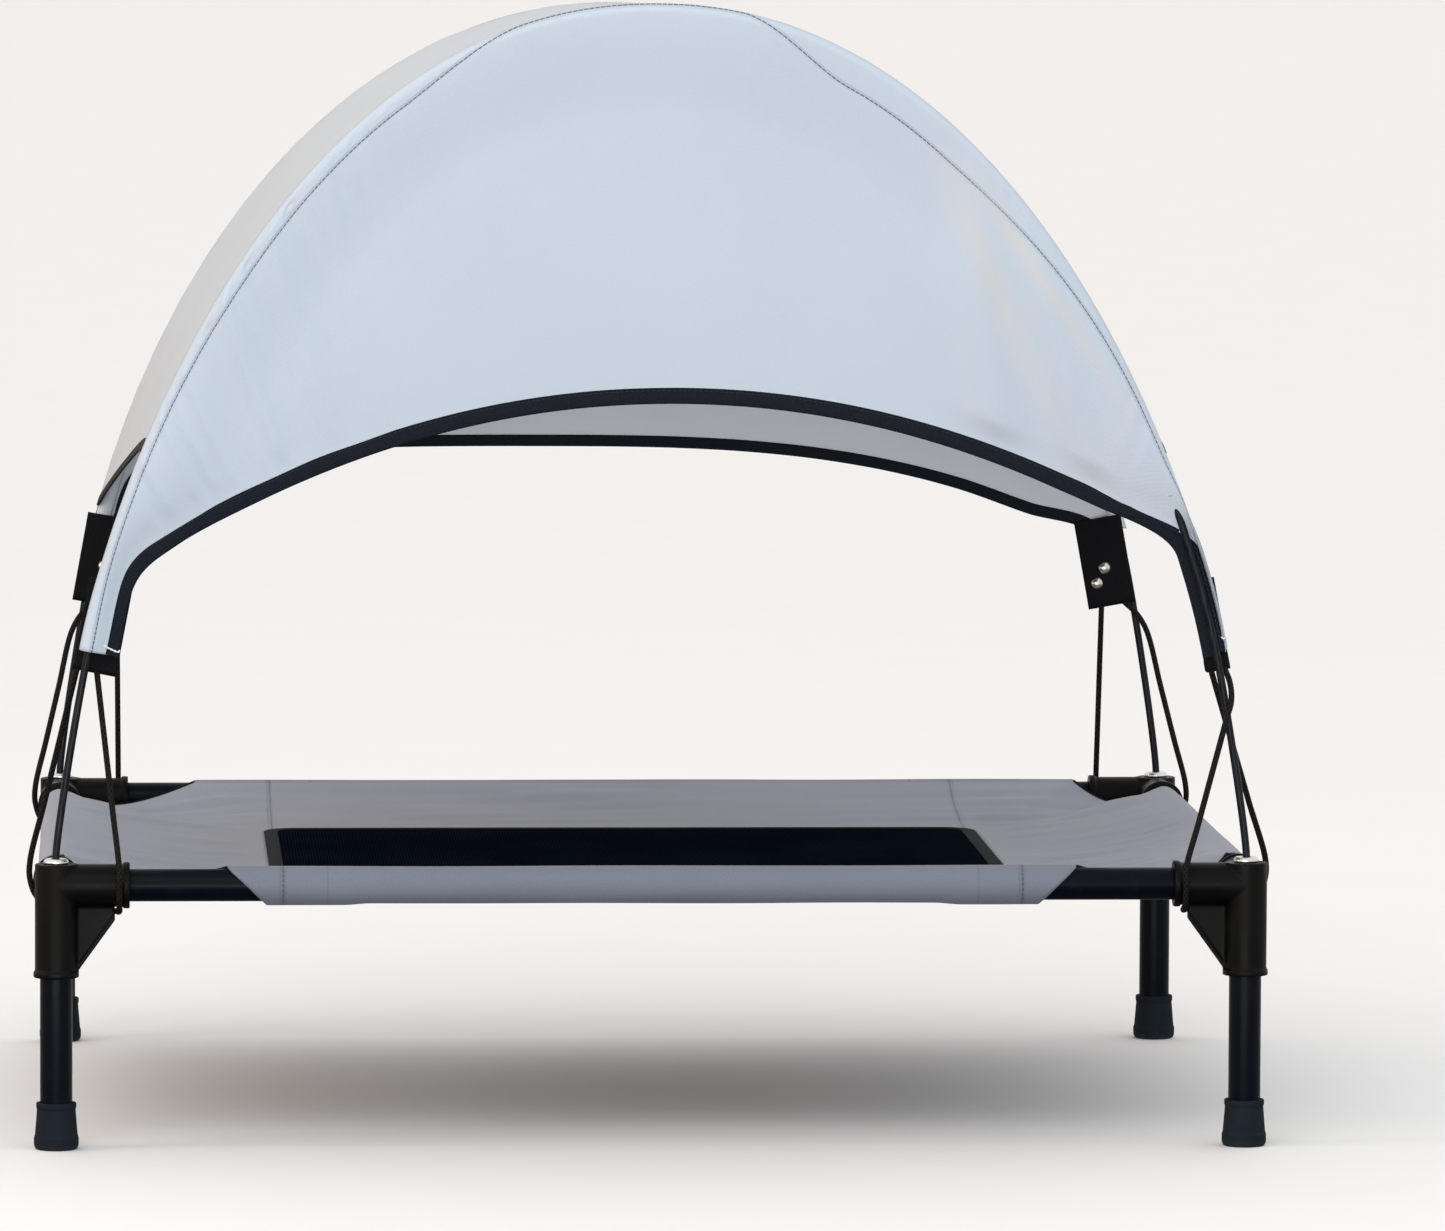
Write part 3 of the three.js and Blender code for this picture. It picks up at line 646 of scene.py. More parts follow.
def webbing_material(name, colour, rib=0.0016):
    """Ribbed tape, its ribs laid out by the cloth's own places."""
    s = Shader(name, colour, 0.72)
    s.gloss(0.08)
    place = s.cloth_place()
    u, v, _ = s.split(place)
    ribs = s.math("SINE", s.math("MULTIPLY", u, 2 * math.pi / rib))
    cross = s.math("SINE", s.math("MULTIPLY", v, 2 * math.pi / (rib * 0.6)))
    height = s.math("MULTIPLY_ADD", cross, 0.35, ribs)
    fine = s.noise(place, 800.0, 3.0, 0.6)
    s.vary(fine, 0.35, 0.7, shade(colour, 0.75), shade(colour, 1.45))
    s.rough(fine, 0.3, 0.7, 0.66, 0.8)
    s.normal = s.bump(height, 0.00012, 0.6)
    return s


STEEL = steel_material()
PLASTIC = plastic_material()
RUBBER = rubber_material()
SILVER = metal_material("turned_aluminium", (0.78, 0.78, 0.76), 0.3, 30.0)
NICKEL = metal_material("domed_nickel", (0.74, 0.69, 0.62), 0.26, 1.0)
FIBREGLASS = pole_material()
ELASTIC = elastic_material()

# ---- Elastic loops ----------------------------------------

STRAIGHT = {"long": [(8, -2, 6.5)], "short": [(-5, -2, 6.5)]}
ROUND_THE_POLE = {
    "long": [(-4, -2, 6.5), (-5.5, -13, 2), (-3.5, -24, -5), (2, -35, -7.5)],
    "short": [(5, -2, 6.5)],
}
OUTWARDS = {"long": [(23, -2, 6.5)], "short": [(7, -2, 6.5), (-1, -13, 8), (-5.5, -26, 11)]}
STRANDS = {
    "front_left": STRAIGHT,
    "front_right": ROUND_THE_POLE,
    "rear_left": OUTWARDS,
    "rear_right": OUTWARDS,
}


def loop_route(corner):
    hook = CONNECTOR_RADIUS + LOOP_RADIUS + LOOP_CLEAR
    slant = hook * math.sqrt(0.5)
    grip, low = LOOP_GRIP, LOOP_LOW
    under = [
        (grip, -hook, LOOP_TOP),
        (grip, -hook, RAIL_Z),
        (grip, -slant, RAIL_Z - slant),
        (grip, 0, RAIL_Z - hook),
        (37, 14, low),
        (27, 27, low - 0.6),
        (14, 37, low),
        (0, grip, RAIL_Z - hook),
        (-slant, grip, RAIL_Z - slant),
        (-hook, grip, RAIL_Z),
        (-hook, grip, LOOP_TOP),
    ]
    under = [from_corner(corner, *p) for p in under]
    place = tab_frame(corner)
    long = [place(*p) for p in STRANDS[corner]["long"]]
    short = [place(*p) for p in STRANDS[corner]["short"]]
    down = [long[-1] + (under[0] - long[-1]) * t for t in (0.35, 0.7)]
    up = [short[-1] + (under[-1] - short[-1]) * t for t in (0.35, 0.7)]
    return Curve(long + down + under + up[::-1] + short[::-1])


for corner in CORNERS:
    route = loop_route(corner)
    path = route.at(np.linspace(0, 1, 200))
    loop = tube_piece(f"elastic_{corner}", path, LOOP_RADIUS, 14)
    loop.data.materials.append(ELASTIC)
    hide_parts(f"elastic_loop_{corner}")
    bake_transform(loop)

# ---- Tube frame -------------------------------------------


def cylinder(mesh, radius, low, high, axis):
    turn = {"z": Matrix.Identity(3), "x": Matrix.Rotation(math.pi / 2, 3, "Y")}.get(
        axis, Matrix.Rotation(-math.pi / 2, 3, "X")
    )
    shift = Vector((0, 0, RAIL_Z)) if axis != "z" else Vector()
    made = bmesh.ops.create_cone(
        mesh, cap_ends=True, segments=64, radius1=radius, radius2=radius, depth=high - low
    )
    for vertex in made["verts"]:
        vertex.co = turn @ (vertex.co + Vector((0, 0, (low + high) / 2))) + shift


def prism(mesh, outline, thickness, turn):
    sides = [
        [mesh.verts.new(turn @ Vector((a, b, z))) for a, z in outline]
        for b in (-thickness / 2, thickness / 2)
    ]
    mesh.faces.new(sides[0])
    mesh.faces.new(reversed(sides[1]))
    for i in range(len(outline)):
        j = (i + 1) % len(outline)
        mesh.faces.new((sides[0][j], sides[0][i], sides[1][i], sides[1][j]))
    bmesh.ops.recalc_face_normals(mesh, faces=mesh.faces)


def object_of(name, mesh):
    data = bpy.data.meshes.new(name)
    mesh.to_mesh(data)
    mesh.free()
    data.transform(Matrix.Scale(MM, 4))
    made = bpy.data.objects.new(name, data)
    bpy.context.scene.collection.objects.link(made)
    return made


def applied(piece):
    """The piece's mesh with its modifiers worked in."""
    graph = bpy.context.evaluated_depsgraph_get()
    data = bpy.data.meshes.new_from_object(piece.evaluated_get(graph))
    piece.modifiers.clear()
    piece.data = data
    return piece


def connector_shape():
    """A corner connector with softened edges, its arms along +X and +Y, and its four sockets."""
    body = bmesh.new()
    cylinder(body, CONNECTOR_RADIUS, CORNER_BOTTOM, CORNER_TOP, "z")
    cylinder(body, 15, CORNER_BOTTOM, CORNER_BOTTOM + 4, "z")
    for axis in "xy":
        cylinder(body, CONNECTOR_RADIUS, 0, 47.9, axis)
        cylinder(body, 15.3, 44, 48.3, axis)
    for turn in (Matrix.Identity(3), Matrix.Rotation(math.pi / 2, 3, "Z")):
        clipped = [(12, 117.5), (38, 153.5), (38, 161), (12, 161)]
        prism(body, clipped, 5, turn)
        rim = [(12, 114.6), (38.6, 151.4), (38.6, 155.6), (12, 118.8)]
        prism(body, rim, 7, turn)
    piece = object_of("connector_shape", body)
    remesh = piece.modifiers.new("remesh", "REMESH")
    remesh.mode = "VOXEL"
    remesh.voxel_size = 0.7 * MM
    smooth = piece.modifiers.new("smooth", "SMOOTH")
    smooth.factor = 0.5
    smooth.iterations = 4
    applied(piece)
    sockets = bmesh.new()
    cylinder(sockets, 10.95, CORNER_BOTTOM - 3, 160, "z")
    cylinder(sockets, 7.4, 164, CORNER_TOP + 3, "z")
    for axis in "xy":
        cylinder(sockets, 10.95, 16, 52, axis)
    cutter = object_of("sockets", sockets)
    cut = piece.modifiers.new("sockets", "BOOLEAN")
    cut.operation = "DIFFERENCE"
    cut.object = cutter
    applied(piece)
    bpy.data.objects.remove(cutter)
    return piece


TURNS = {"front_left": 0, "front_right": 1, "rear_right": 2, "rear_left": 3}
shape = connector_shape()
for corner, (x, y) in CORNERS.items():
    piece = bpy.data.objects.new(f"connector_{corner}", shape.data.copy())
    bpy.context.scene.collection.objects.link(piece)
    moved(piece, (x * LEG_X, y * LEG_Y, 0), Matrix.Rotation(TURNS[corner] * math.pi / 2, 3, "Z"))
    piece.data.shade_smooth()
    piece.data.set_sharp_from_angle(angle=math.radians(40))
    finished(piece, PLASTIC, "cot", "connector_plastic", f"corner_connector_{corner}")
bpy.data.objects.remove(shape)


def tube_profile(low, high):
    """A tube's wall, with its bore drawn only near the open ends."""
    wall = [(TUBE_BORE, low), (TUBE_RADIUS, low), (TUBE_RADIUS, high), (TUBE_BORE, high)]
    return rounded([(TUBE_BORE, low + 6), *wall, (TUBE_BORE, high - 6)], 0.5, 3)


FOOT_PROFILE = [
    (0, 0.4),
    (7.5, 0.4),
    (8.2, 0),
    (13.4, 0),
    (14.75, 2.5),
    (14.75, 8),
    (14.1, 9.4),
    (12.7, 26.5),
    (13.2, 27.6),
    (13.2, 31),
    (10.9, 31),
    (10.9, 20),
]
SOCKET_PROFILE = [
    (0, 165),
    (7.2, 165),
    (7.2, 188.7),
    (8.3, 188.9),
    (8.3, 190.2),
    (6.9, 192),
    (3.4, 192),
    (3.1, 191),
    (3.1, 170),
]

for corner, (x, y) in CORNERS.items():
    place = (x * LEG_X, y * LEG_Y, 0)
    leg = moved(turned_piece(f"leg_{corner}", tube_profile(6.3, 159.7)), place)
    finished(leg, STEEL, f"leg_{corner}", "black_steel", f"leg_tube_{corner}")
    foot = moved(turned_piece(f"rubber_foot_{corner}", rounded(FOOT_PROFILE, 1.2)), place)
    finished(foot, RUBBER, f"leg_{corner}", "foot_rubber", f"foot_{corner}")
    socket = turned_piece(f"socket_{corner}", rounded(SOCKET_PROFILE, 0.6))
    finished(moved(socket, place), SILVER, "cot", "socket_metal", f"pole_socket_{corner}")

for name, axis, offset, half in (
    ("front_rail", "x", -LEG_Y, LEG_X),
    ("rear_rail", "x", LEG_Y, LEG_X),
    ("left_rail", "y", -LEG_X, LEG_Y),
    ("right_rail", "y", LEG_X, LEG_Y),
):
    tube = turned_piece(f"{name}_tube", tube_profile(16.3 - half, half - 16.3))
    if axis == "x":
        moved(tube, (0, offset, RAIL_Z), Matrix.Rotation(math.pi / 2, 3, "Y"))
    else:
        moved(tube, (offset, 0, RAIL_Z), Matrix.Rotation(math.pi / 2, 3, "X"))
    finished(tube, STEEL, "cot", "black_steel", name)

# ---- Bed cover --------------------------------------------


def ease(low, high, value):
    t = np.clip((np.asarray(value, float) - low) / (high - low), 0, 1)
    return t * t * (3 - 2 * t)


def soft_noise(seed, *axes):
    """Smooth repeatable noise from -1 to 1: a few crossed waves with turned directions."""
    random = np.random.default_rng(seed)
    total = 0
    for _ in range(7):
        direction = random.normal(size=len(axes))
        wave = sum(d * a for d, a in zip(direction, axes))
        total = total + np.sin(wave * random.uniform(0.7, 1.6) + random.uniform(0, 6.28))
    return total / 3.5


COVER_R = 11.9  # the wrapped cloth's middle surface round the rails
LEAVE = math.radians(17.5)  # where the deck leaves the rail, from its top
SEWN = math.radians(-203.4)  # where the wrap leaves it again underneath
FLAP = 34.0  # the wrap is sewn to the deck this far inside the rail's axis
DECK_FLOOR = 165.0
CORNER_DIP = (364.4, 263.9, 158.6)
LONG_REACH = {"front_left": 280, "front_right": 280, "rear_left": 297, "rear_right": 333}
SHORT_REACH = {"front_left": 220, "front_right": 220, "rear_left": 235, "rear_right": 246}
HOLE_X, HOLE_Y, HOLE_ROUND = 248.6, 165.6, 22.5
SEAM_X, WRAP_SEAM_X = 243.5, 214.5
WRAP_SLANT = 13.0  # how much further the wrap reaches on top of a rail than at its side
CREASES = 1.9


def corner_arc(corner, steps, long_first):
    """The deck's free edge at a corner without its ends, and the hole's corner beside it."""
    x, y = CORNERS[corner]
    inset, edge_z = COVER_R * math.sin(LEAVE), RAIL_Z + COVER_R * math.cos(LEAVE)
    start = np.array((LONG_REACH[corner], LEG_Y - inset, edge_z))
    end = np.array((LEG_X - inset, SHORT_REACH[corner], edge_z))
    shares = np.linspace(0, 1, steps + 2)[1:-1]
    t = shares[:, None]
    edge = (1 - t) ** 2 * start + 2 * t * (1 - t) * np.array(CORNER_DIP) + t * t * end
    angle = math.pi / 2 * (1 - shares)
    hole = np.stack(
        [
            HOLE_X - HOLE_ROUND + HOLE_ROUND * np.cos(angle),
            HOLE_Y - HOLE_ROUND + HOLE_ROUND * np.sin(angle),
            np.full(steps, DECK_FLOOR),
        ],
        axis=1,
    )
    flip = np.array((x, y, 1))
    if not long_first:
        edge, hole = edge[::-1], hole[::-1]
    return edge * flip, hole * flip


def side_run(first, second, steps):
    """The deck's edge along one rail, corner to corner, and the hole's edge beside it."""
    inset, edge_z = COVER_R * math.sin(LEAVE), RAIL_Z + COVER_R * math.cos(LEAVE)
    (x1, y1), (x2, y2) = CORNERS[first], CORNERS[second]
    t = np.linspace(0, 1, steps)
    flat = np.ones(steps)
    if y1 == y2:
        along = x1 * LONG_REACH[first] * (1 - t) + x2 * LONG_REACH[second] * t
        hole = (HOLE_X - HOLE_ROUND) * (x1 * (1 - t) + x2 * t)
        return (
            np.stack([along, y1 * (LEG_Y - inset) * flat, edge_z * flat], axis=1),
            np.stack([hole, y1 * HOLE_Y * flat, DECK_FLOOR * flat], axis=1),
        )
    along = y1 * SHORT_REACH[first] * (1 - t) + y2 * SHORT_REACH[second] * t
    hole = (HOLE_Y - HOLE_ROUND) * (y1 * (1 - t) + y2 * t)
    return (
        np.stack([x1 * (LEG_X - inset) * flat, along, edge_z * flat], axis=1),
        np.stack([x1 * HOLE_X * flat, hole, DECK_FLOOR * flat], axis=1),
    )


ROUND_THE_DECK = [
    ("front_left", "front_right", 150, True),
    ("front_right", "rear_right", 110, False),
    ("rear_right", "rear_left", 150, True),
    ("rear_left", "front_left", 110, False),
]
ARC_STEPS = 34
DECK_STEPS = 40
WRAP_STEPS = 34
FLAP_STEPS = 6


def deck_height(x, y, share):
    """Soft creases on the deck, none at its seams' ends and edges."""
    hold = ease(0.02, 0.25, share) * (1 - ease(0.82, 1.0, share))
    beyond = ease(235, 275, np.abs(x))
    long_creases = soft_noise(3, x / 95, y / 13) * 0.9 * (0.35 + 0.65 * beyond)
    drag = soft_noise(8, (x + y) / 60, y / 24) * 0.6
    return CREASES * (long_creases + drag) * hold


def bed_cover():
    edges, holes, runs, count = [], [], [], 0
    for first, second, steps, along_x in ROUND_THE_DECK:
        edge, hole = side_run(first, second, steps)
        runs.append((first, second, count, steps, along_x))
        arc_edge, arc_hole = corner_arc(second, ARC_STEPS, along_x)
        edges += [edge, arc_edge]
        holes += [hole, arc_hole]
        count += steps + ARC_STEPS
    edge, hole = np.vstack(edges), np.vstack(holes)
    shares = np.linspace(0, 1, DECK_STEPS + 1)
    rows = []
    for share in shares:
        row = hole + (edge - hole) * share
        row[:, 2] = DECK_FLOOR + (edge[:, 2] - DECK_FLOOR) * share**2.0
        row[:, 2] += deck_height(row[:, 0], row[:, 1], share)
        rows.append(row)
    points = [np.vstack(rows)]
    uv = [points[0][:, :2]]
    faces = grid_faces(DECK_STEPS + 1, count, closed_columns=True)
    made = (DECK_STEPS + 1) * count
    last_row = DECK_STEPS * count
    angles = np.linspace(LEAVE, SEWN, WRAP_STEPS + 1)[1:]
    for first, second, start, steps, along_x in runs:
        top = edge[start : start + steps]
        axis, across = (0, 1) if along_x else (1, 0)
        outward = np.sign(top[0, across])
        leg = LEG_Y if along_x else LEG_X
        a = top[:, axis]
        reach = np.where(a < 0, abs(a[0] if a[0] < 0 else a[-1]), max(a[0], a[-1]))
        layers = []
        for angle in angles:
            dip = 1 - math.cos(max(angle, -math.pi))
            swell = 0.25 * soft_noise(5, a / 40, np.full(steps, angle * 2))
            loose = ease(205, 225, np.abs(a)) * ease(math.radians(-30), math.radians(-110), angle)
            swell = swell + 1.1 * loose * abs(math.sin(angle / 2)) * (1 if along_x else 0.5)
            radius = COVER_R + swell
            layer = np.empty((steps, 3))
            layer[:, axis] = a * (reach - WRAP_SLANT * dip) / reach
            layer[:, across] = outward * (leg - radius * math.sin(angle))
            layer[:, 2] = RAIL_Z + radius * math.cos(angle)
            layers.append(layer)
        sewn = layers[-1].copy()
        depth = 1 - (FLAP - COVER_R * math.sin(LEAVE)) / 131.0
        sewn[:, across] = outward * (leg - FLAP)
        sewn[:, 2] = DECK_FLOOR + (RAIL_Z + 11.35 - DECK_FLOOR) * depth**2 - 1.2
        for t in np.linspace(0, 1, FLAP_STEPS + 1)[1:]:
            layers.append(layers[WRAP_STEPS - 1] * (1 - t) + sewn * t)
        previous = last_row + start + np.arange(steps)
        travelled = np.zeros(steps)
        before = top
        for layer in layers:
            travelled = travelled + np.linalg.norm((layer - before)[:, [across, 2]], axis=1)
            place = np.empty((steps, 2))
            place[:, axis] = layer[:, axis]
            place[:, across] = top[:, across] + outward * travelled
            current = made + np.arange(steps)
            for i in range(steps - 1):
                faces.append(
                    (int(previous[i]), int(previous[i + 1]), int(current[i + 1]), int(current[i]))
                )
            points.append(layer)
            uv.append(place)
            previous, before = current, layer
            made += steps
    piece = mesh_piece("bed_cover_cloth", np.vstack(points), faces, np.vstack(uv))
    arcs = []
    for first, second, start, steps, along_x in runs:
        tail = np.vstack([edge[start + steps - 1 :], edge])
        arcs.append((second, tail[: ARC_STEPS + 2]))
    return thicken(piece, 0.9), arcs


BED = cloth_material("bed_weave", (0.335, 0.36, 0.43), 0.085, 0.0011, 0.05, 0.82, 0.2)
cloth_x, cloth_y, _ = BED.split(BED.cloth_place())
seam(BED, BED.math("ABSOLUTE", cloth_x), SEAM_X * MM, cloth_y, (0.17, 0.19, 0.23), 0.0007)
far_out = BED.math("GREATER_THAN", BED.math("ABSOLUTE", cloth_y), 0.2985)
wrap_seam = BED.math(
    "MULTIPLY",
    BED.line_mask(BED.math("ABSOLUTE", cloth_x), WRAP_SEAM_X * MM, 0.0007),
    far_out,
)
# Painted shade: the cloth wrapped round the rails gets a darker colour that stands in for the
# shade it lies in.
painted_shade_round_rails = BED.between(BED.math("ABSOLUTE", cloth_y), 0.296, 0.306)
BED.darken(painted_shade_round_rails, (0.53, 0.55, 0.58))
BED.colour(BED.mix(wrap_seam, BED.base_colour, (0.15, 0.165, 0.2, 1)))

cover, free_edges = bed_cover()
finished(cover, BED.material, "cot", "bed_fabric", "bed_cover")

TAPE = webbing_material("black_tape", (0.006, 0.007, 0.010))
for corner, edge in free_edges:
    lowered = edge - (0, 0, 0.4)
    trim = tube_piece(f"edge_cord_{corner}", Curve(lowered).at(np.linspace(0, 1, 90)), 1.5, 10)
    finished(trim, TAPE.material, "cot", "black_webbing")


def rounded_loop(half_x, half_y, corner, steps):
    points = []
    for i, (x, y) in enumerate([(1, 1), (-1, 1), (-1, -1), (1, -1)]):
        for t in np.linspace(0, math.pi / 2, steps):
            angle = i * math.pi / 2 + t
            points.append(
                (
                    x * (half_x - corner) + corner * math.cos(angle),
                    y * (half_y - corner) + corner * math.sin(angle),
                )
            )
    return np.array(points)


def spread(loop, count):
    closed = np.vstack([loop, loop[:1]])
    reached = distances(closed)
    where = np.linspace(0, reached[-1], count, endpoint=False)
    return np.stack([np.interp(where, reached, c) for c in closed.T], axis=1), where


def mesh_sag(x, y):
    inside = np.clip(1 - (x / 240) ** 2, 0, 1) * np.clip(1 - (y / 157) ** 2, 0, 1)
    return -3.0 * inside**0.7


def mesh_panel():
    loop, _ = spread(rounded_loop(241.5, 158.5, 15, 14), 360)
    rows = []
    for share in np.linspace(0, 1, 40):
        flat = loop * share
        z = DECK_FLOOR + mesh_sag(flat[:, 0], flat[:, 1])
        rows.append(np.column_stack([flat, z]))
    rows = np.array(rows)
    piece = mesh_piece(
        "mesh_panel_net",
        rows.reshape(-1, 3),
        grid_faces(len(rows), 360, closed_columns=True),
        rows.reshape(-1, 3)[:, :2],
    )
    return thicken(welded(piece, 1e-5), 0.8)


def mesh_material():
    """Net: rows of small holes in a dark knit, the holes painted near-black as the shade seen
    through them.
    """
    s = Shader("dark_net", (0.004, 0.008, 0.014), 0.9)
    s.gloss(0.0)
    u, v, _ = s.split(s.cloth_place())
    pitch = 0.0021
    turn = math.pi / pitch
    across = s.math("ABSOLUTE", s.math("SINE", s.math("MULTIPLY", u, turn)))
    down = s.math("ABSOLUTE", s.math("SINE", s.math("MULTIPLY", v, turn)))
    hole = s.between(s.math("MULTIPLY", across, down), 0.42, 0.6)
    tint = s.noise(s.object_place(), 14.0, 3.0, 0.5)
    thread = s.mix(s.between(tint, 0.3, 0.7), (0.0045, 0.009, 0.016, 1), (0.008, 0.014, 0.023, 1))
    # Painted shade: the holes are coloured near-black for the shade seen through them.
    s.colour(s.mix(hole, thread, (0.0015, 0.002, 0.003, 1)))
    s.bump(s.math("SUBTRACT", 1.0, hole), 0.0005, 0.8)
    return s.material


net = mesh_panel()
finished(net, mesh_material(), "cot", "bed_mesh", "mesh_panel")


def tape_round_mesh():
    """The tape sewn round the net, with soft edges."""
    section = [(0.0, -0.7), (0.0, 0.55), (0.9, 1.0), (4.7, 1.15)]
    section += [(9.5 - outward, up) for outward, up in reversed(section[:3])]
    rows = []
    for outward, up in section:
        loop, where = spread(rounded_loop(240 + outward, 157 + outward, 14 + outward, 14), 420)
        rows.append(np.column_stack([loop, np.full(420, DECK_FLOOR + up)]))
    rows = np.array(rows)
    widths = np.array([o for o, _ in section])
    uv = np.stack(np.meshgrid(where, widths), axis=2)
    return mesh_piece(
        "mesh_border_tape",
        rows.reshape(-1, 3),
        grid_faces(len(section), 420, closed_rows=True, closed_columns=True),
        uv.reshape(-1, 2),
    )


border = tape_round_mesh()
finished(border, TAPE.material, "cot", "black_webbing", "mesh_border")

# ---- Canopy -----------------------------------------------

SLEEVE_END = {"front": (243, 140), "rear": (178, 132)}  # heights at its right and left ends
HEM_END = {"front": (140, 140), "rear": (177, 132)}  # the same for the valance's cloth
TWIST_TOP, TWIST_FULL = 236, 204  # where the front hem turns back round the right-hand pole


def hem_points(name, shares, up):
    """Points on a valance's hem, moved up from its lower edge."""
    hem = HEMS[name]
    heading = hem.heading(shares)
    upward = np.stack([heading[:, 2], np.zeros(len(heading)), -heading[:, 0]], axis=1)
    return hem.at(shares) + upward * np.reshape(up, (-1, 1))


def hem_start(name):
    """Share of the hem's length at which the cloth begins, at its right-hand end."""
    if HEM_END[name][0] == ARCHES[name]["tip"]:
        return 0.0
    shares = np.linspace(0, 0.3, 600)
    heights = HEMS[name].at(shares)[:, 2] - CORNER_TOP
    return shares[np.argmax(heights > HEM_END[name][0])]


def twisted(name, points, target_n, target_b):
    """Carries the front hem's right-hand end back round its pole."""
    if name != "front":
        return points
    h = points[:, 2] - CORNER_TOP
    share = ease(TWIST_TOP, TWIST_FULL, h) * (points[:, 0] > 250)
    line = LINES["front"]
    goal = points.copy()
    for i in np.nonzero(share > 0)[0]:
        goal[i] = beside_pole(line, line.share_at_height(h[i]), target_n)[0]
        goal[i, 1] += target_b
    return points + (goal - points) * share[:, None]


def sleeve(name):
    line = LINES[name]
    start = line.share_at_height(SLEEVE_END[name][0])
    end = 1 - line.share_at_height(SLEEVE_END[name][1])
    shares = np.linspace(start, end, 620)
    points = line.at(shares)
    along = shares * line.length
    sides = 28
    turns = np.linspace(0, 2 * math.pi, sides, endpoint=False)
    first, second = frames_along(points)
    rows = []
    for turn in turns:
        gathers = 0.16 * soft_noise(21, along / 5.5, np.full(len(along), 1.4 * math.cos(turn)))
        slack = 0.22 * soft_noise(22, along / 22, np.full(len(along), math.sin(turn)))
        radius = SLEEVE_RADIUS + gathers + slack
        rows.append(points + radius[:, None] * (first * math.cos(turn) + second * math.sin(turn)))
    rows = np.stack(rows, axis=1)
    uv = np.stack(np.meshgrid(turns * SLEEVE_RADIUS, along), axis=2)
    piece = mesh_piece(
        f"{name}_sleeve_cloth",
        rows.reshape(-1, 3),
        grid_faces(len(rows), sides, closed_columns=True),
        uv.reshape(-1, 2),
    )
    length = (end - start) * line.length
    return thicken(piece, 0.5), length


WRAP = 6.0  # the canopy's cloth runs round the outside of the sleeve at this distance
WRAP_ROWS, VALANCE_ROWS, VALANCE_COLUMNS = 14, 72, 460
PUCKERS, FOLDS_OUT, CALM_WAVES = 1.9, 1.6, 1.5  # how strong each kind of wrinkle is


def pocket_depth(x):
    """How far inside the arch's outer edge the pole pocket is stitched."""
    right = 22 * ease(55, 130, x) * (1 - 0.78 * ease(190, 330, x))
    left = 11 * ease(85, 170, -x) * (1 - 0.3 * ease(260, 340, -x))
    return right + left


def valance(name):
    arch, line = ARCHES[name], LINES[name]
    right, left = (line.share_at_height(h) for h in HEM_END[name])
    t = np.linspace(hem_start(name), 1, VALANCE_COLUMNS)
    shares = right + (1 - left - right) * np.linspace(0, 1, VALANCE_COLUMNS)
    top = beside_pole(line, shares, -WRAP)
    bottom = hem_points(name, t, arch["tape"] * 0.55)
    top = twisted(name, top, -8.2, 2.2)
    bottom = twisted(name, bottom, -6.4, 3.6)
    side = arch["side"]
    seam_run = shares * line.length
    rows, depths = [], []
    height = np.linalg.norm(bottom - top, axis=1)
    wrapped = np.minimum(2 * WRAP / height, 0.6)
    for step in range(VALANCE_ROWS):
        first = min(step / WRAP_ROWS, 1)
        below = max(0, (step - WRAP_ROWS) / (VALANCE_ROWS - 1 - WRAP_ROWS))
        share = wrapped * first + (1 - wrapped) * below
        row = top + (bottom - top) * share[:, None]
        down = height * share
        depths.append(down - pocket_depth(top[:, 0]))
        rounding = np.sqrt(np.maximum(WRAP**2 - (WRAP - np.minimum(down, WRAP)) ** 2, 0))
        rounding = rounding * ease(7, 18, height)
        row[:, 1] += side * rounding * (1 - ease(WRAP, np.clip(height, 2 * WRAP, 75), down))
        wide = ease(24, 70, height)
        x, h = row[:, 0], row[:, 2] - CORNER_TOP
        end = ease(0.3 * WRAP, WRAP, down) * ease(6, 22, height - down) * wide
        left_low = ease(-60, -260, x) * 1.0
        near = np.exp(-(down - WRAP) / (15 + 16 * left_low))
        phase = seam_run / 2.3 + 2.6 * soft_noise(31, seam_run / 60) + down / 60
        strong = 0.5 + 0.5 * soft_noise(35, seam_run / 18)
        pucker = np.sin(phase) * (0.1 + 0.3 * left_low) * near * np.maximum(strong, 0)
        pucker += soft_noise(32, seam_run / 5, down / 40) * 0.4 * np.exp(-down / 34) * left_low
        drag = soft_noise(33, seam_run / 6, down / 90) * 0.75
        drag *= ease(-150, -290, x) + 0.6 * ease(300, 350, x)
        fold = 2.6 * np.exp(-(((x - 218 - (330 - h) * 0.14) / 17) ** 2)) * ease(470, 380, h)
        fold += 2.4 * np.exp(-(((x - 262 - (345 - h) * 0.3) / 13) ** 2)) * ease(440, 360, h)
        fold *= 1 if name == "front" else 0.3
        belly = 3.5 * np.sin(math.pi * share) * wide
        calm = 0.7 * soft_noise(34, x / 90, h / 70) * np.sin(math.pi * share)
        wrinkles = PUCKERS * (pucker + drag) + FOLDS_OUT * fold + CALM_WAVES * calm
        row[:, 1] += side * (wrinkles * end + belly)
        rows.append(row)
    rows = np.array(rows)
    uv = np.stack([np.broadcast_to(seam_run, rows.shape[:2]), depths], axis=2)
    piece = sheet_piece(f"{name}_valance_cloth", rows, 0.5, uv)
    return piece, rows


def hem_tape(name):
    """The tape folded over the hem, with a rounded fold and stitched edges."""
    arch = ARCHES[name]
    tape = arch["tape"]
    face = [(0.35, 0.75), (1.2, 1.05), (tape * 0.45, 0.95), (tape - 1.4, 1.0), (tape, 0.75)]
    section = [(0.0, 0.0), *face, *((up, -out) for up, out in reversed(face))]
    t = np.linspace(hem_start(name), 1, 520)
    run = t * HEMS[name].length
    wave = 0.25 * soft_noise(41, run / 30)
    rows = []
    for up, out in section:
        row = hem_points(name, t, np.full(len(t), up))
        row[:, 1] += arch["side"] * (out + wave)
        share = up / tape
        row = twisted(name, row, 9.0 - 16.0 * share, 3.6 + 0.5 * out)
        rows.append(row)
    return strip_piece(f"{name}_hem_tape", np.array(rows).transpose(1, 0, 2), section, run)


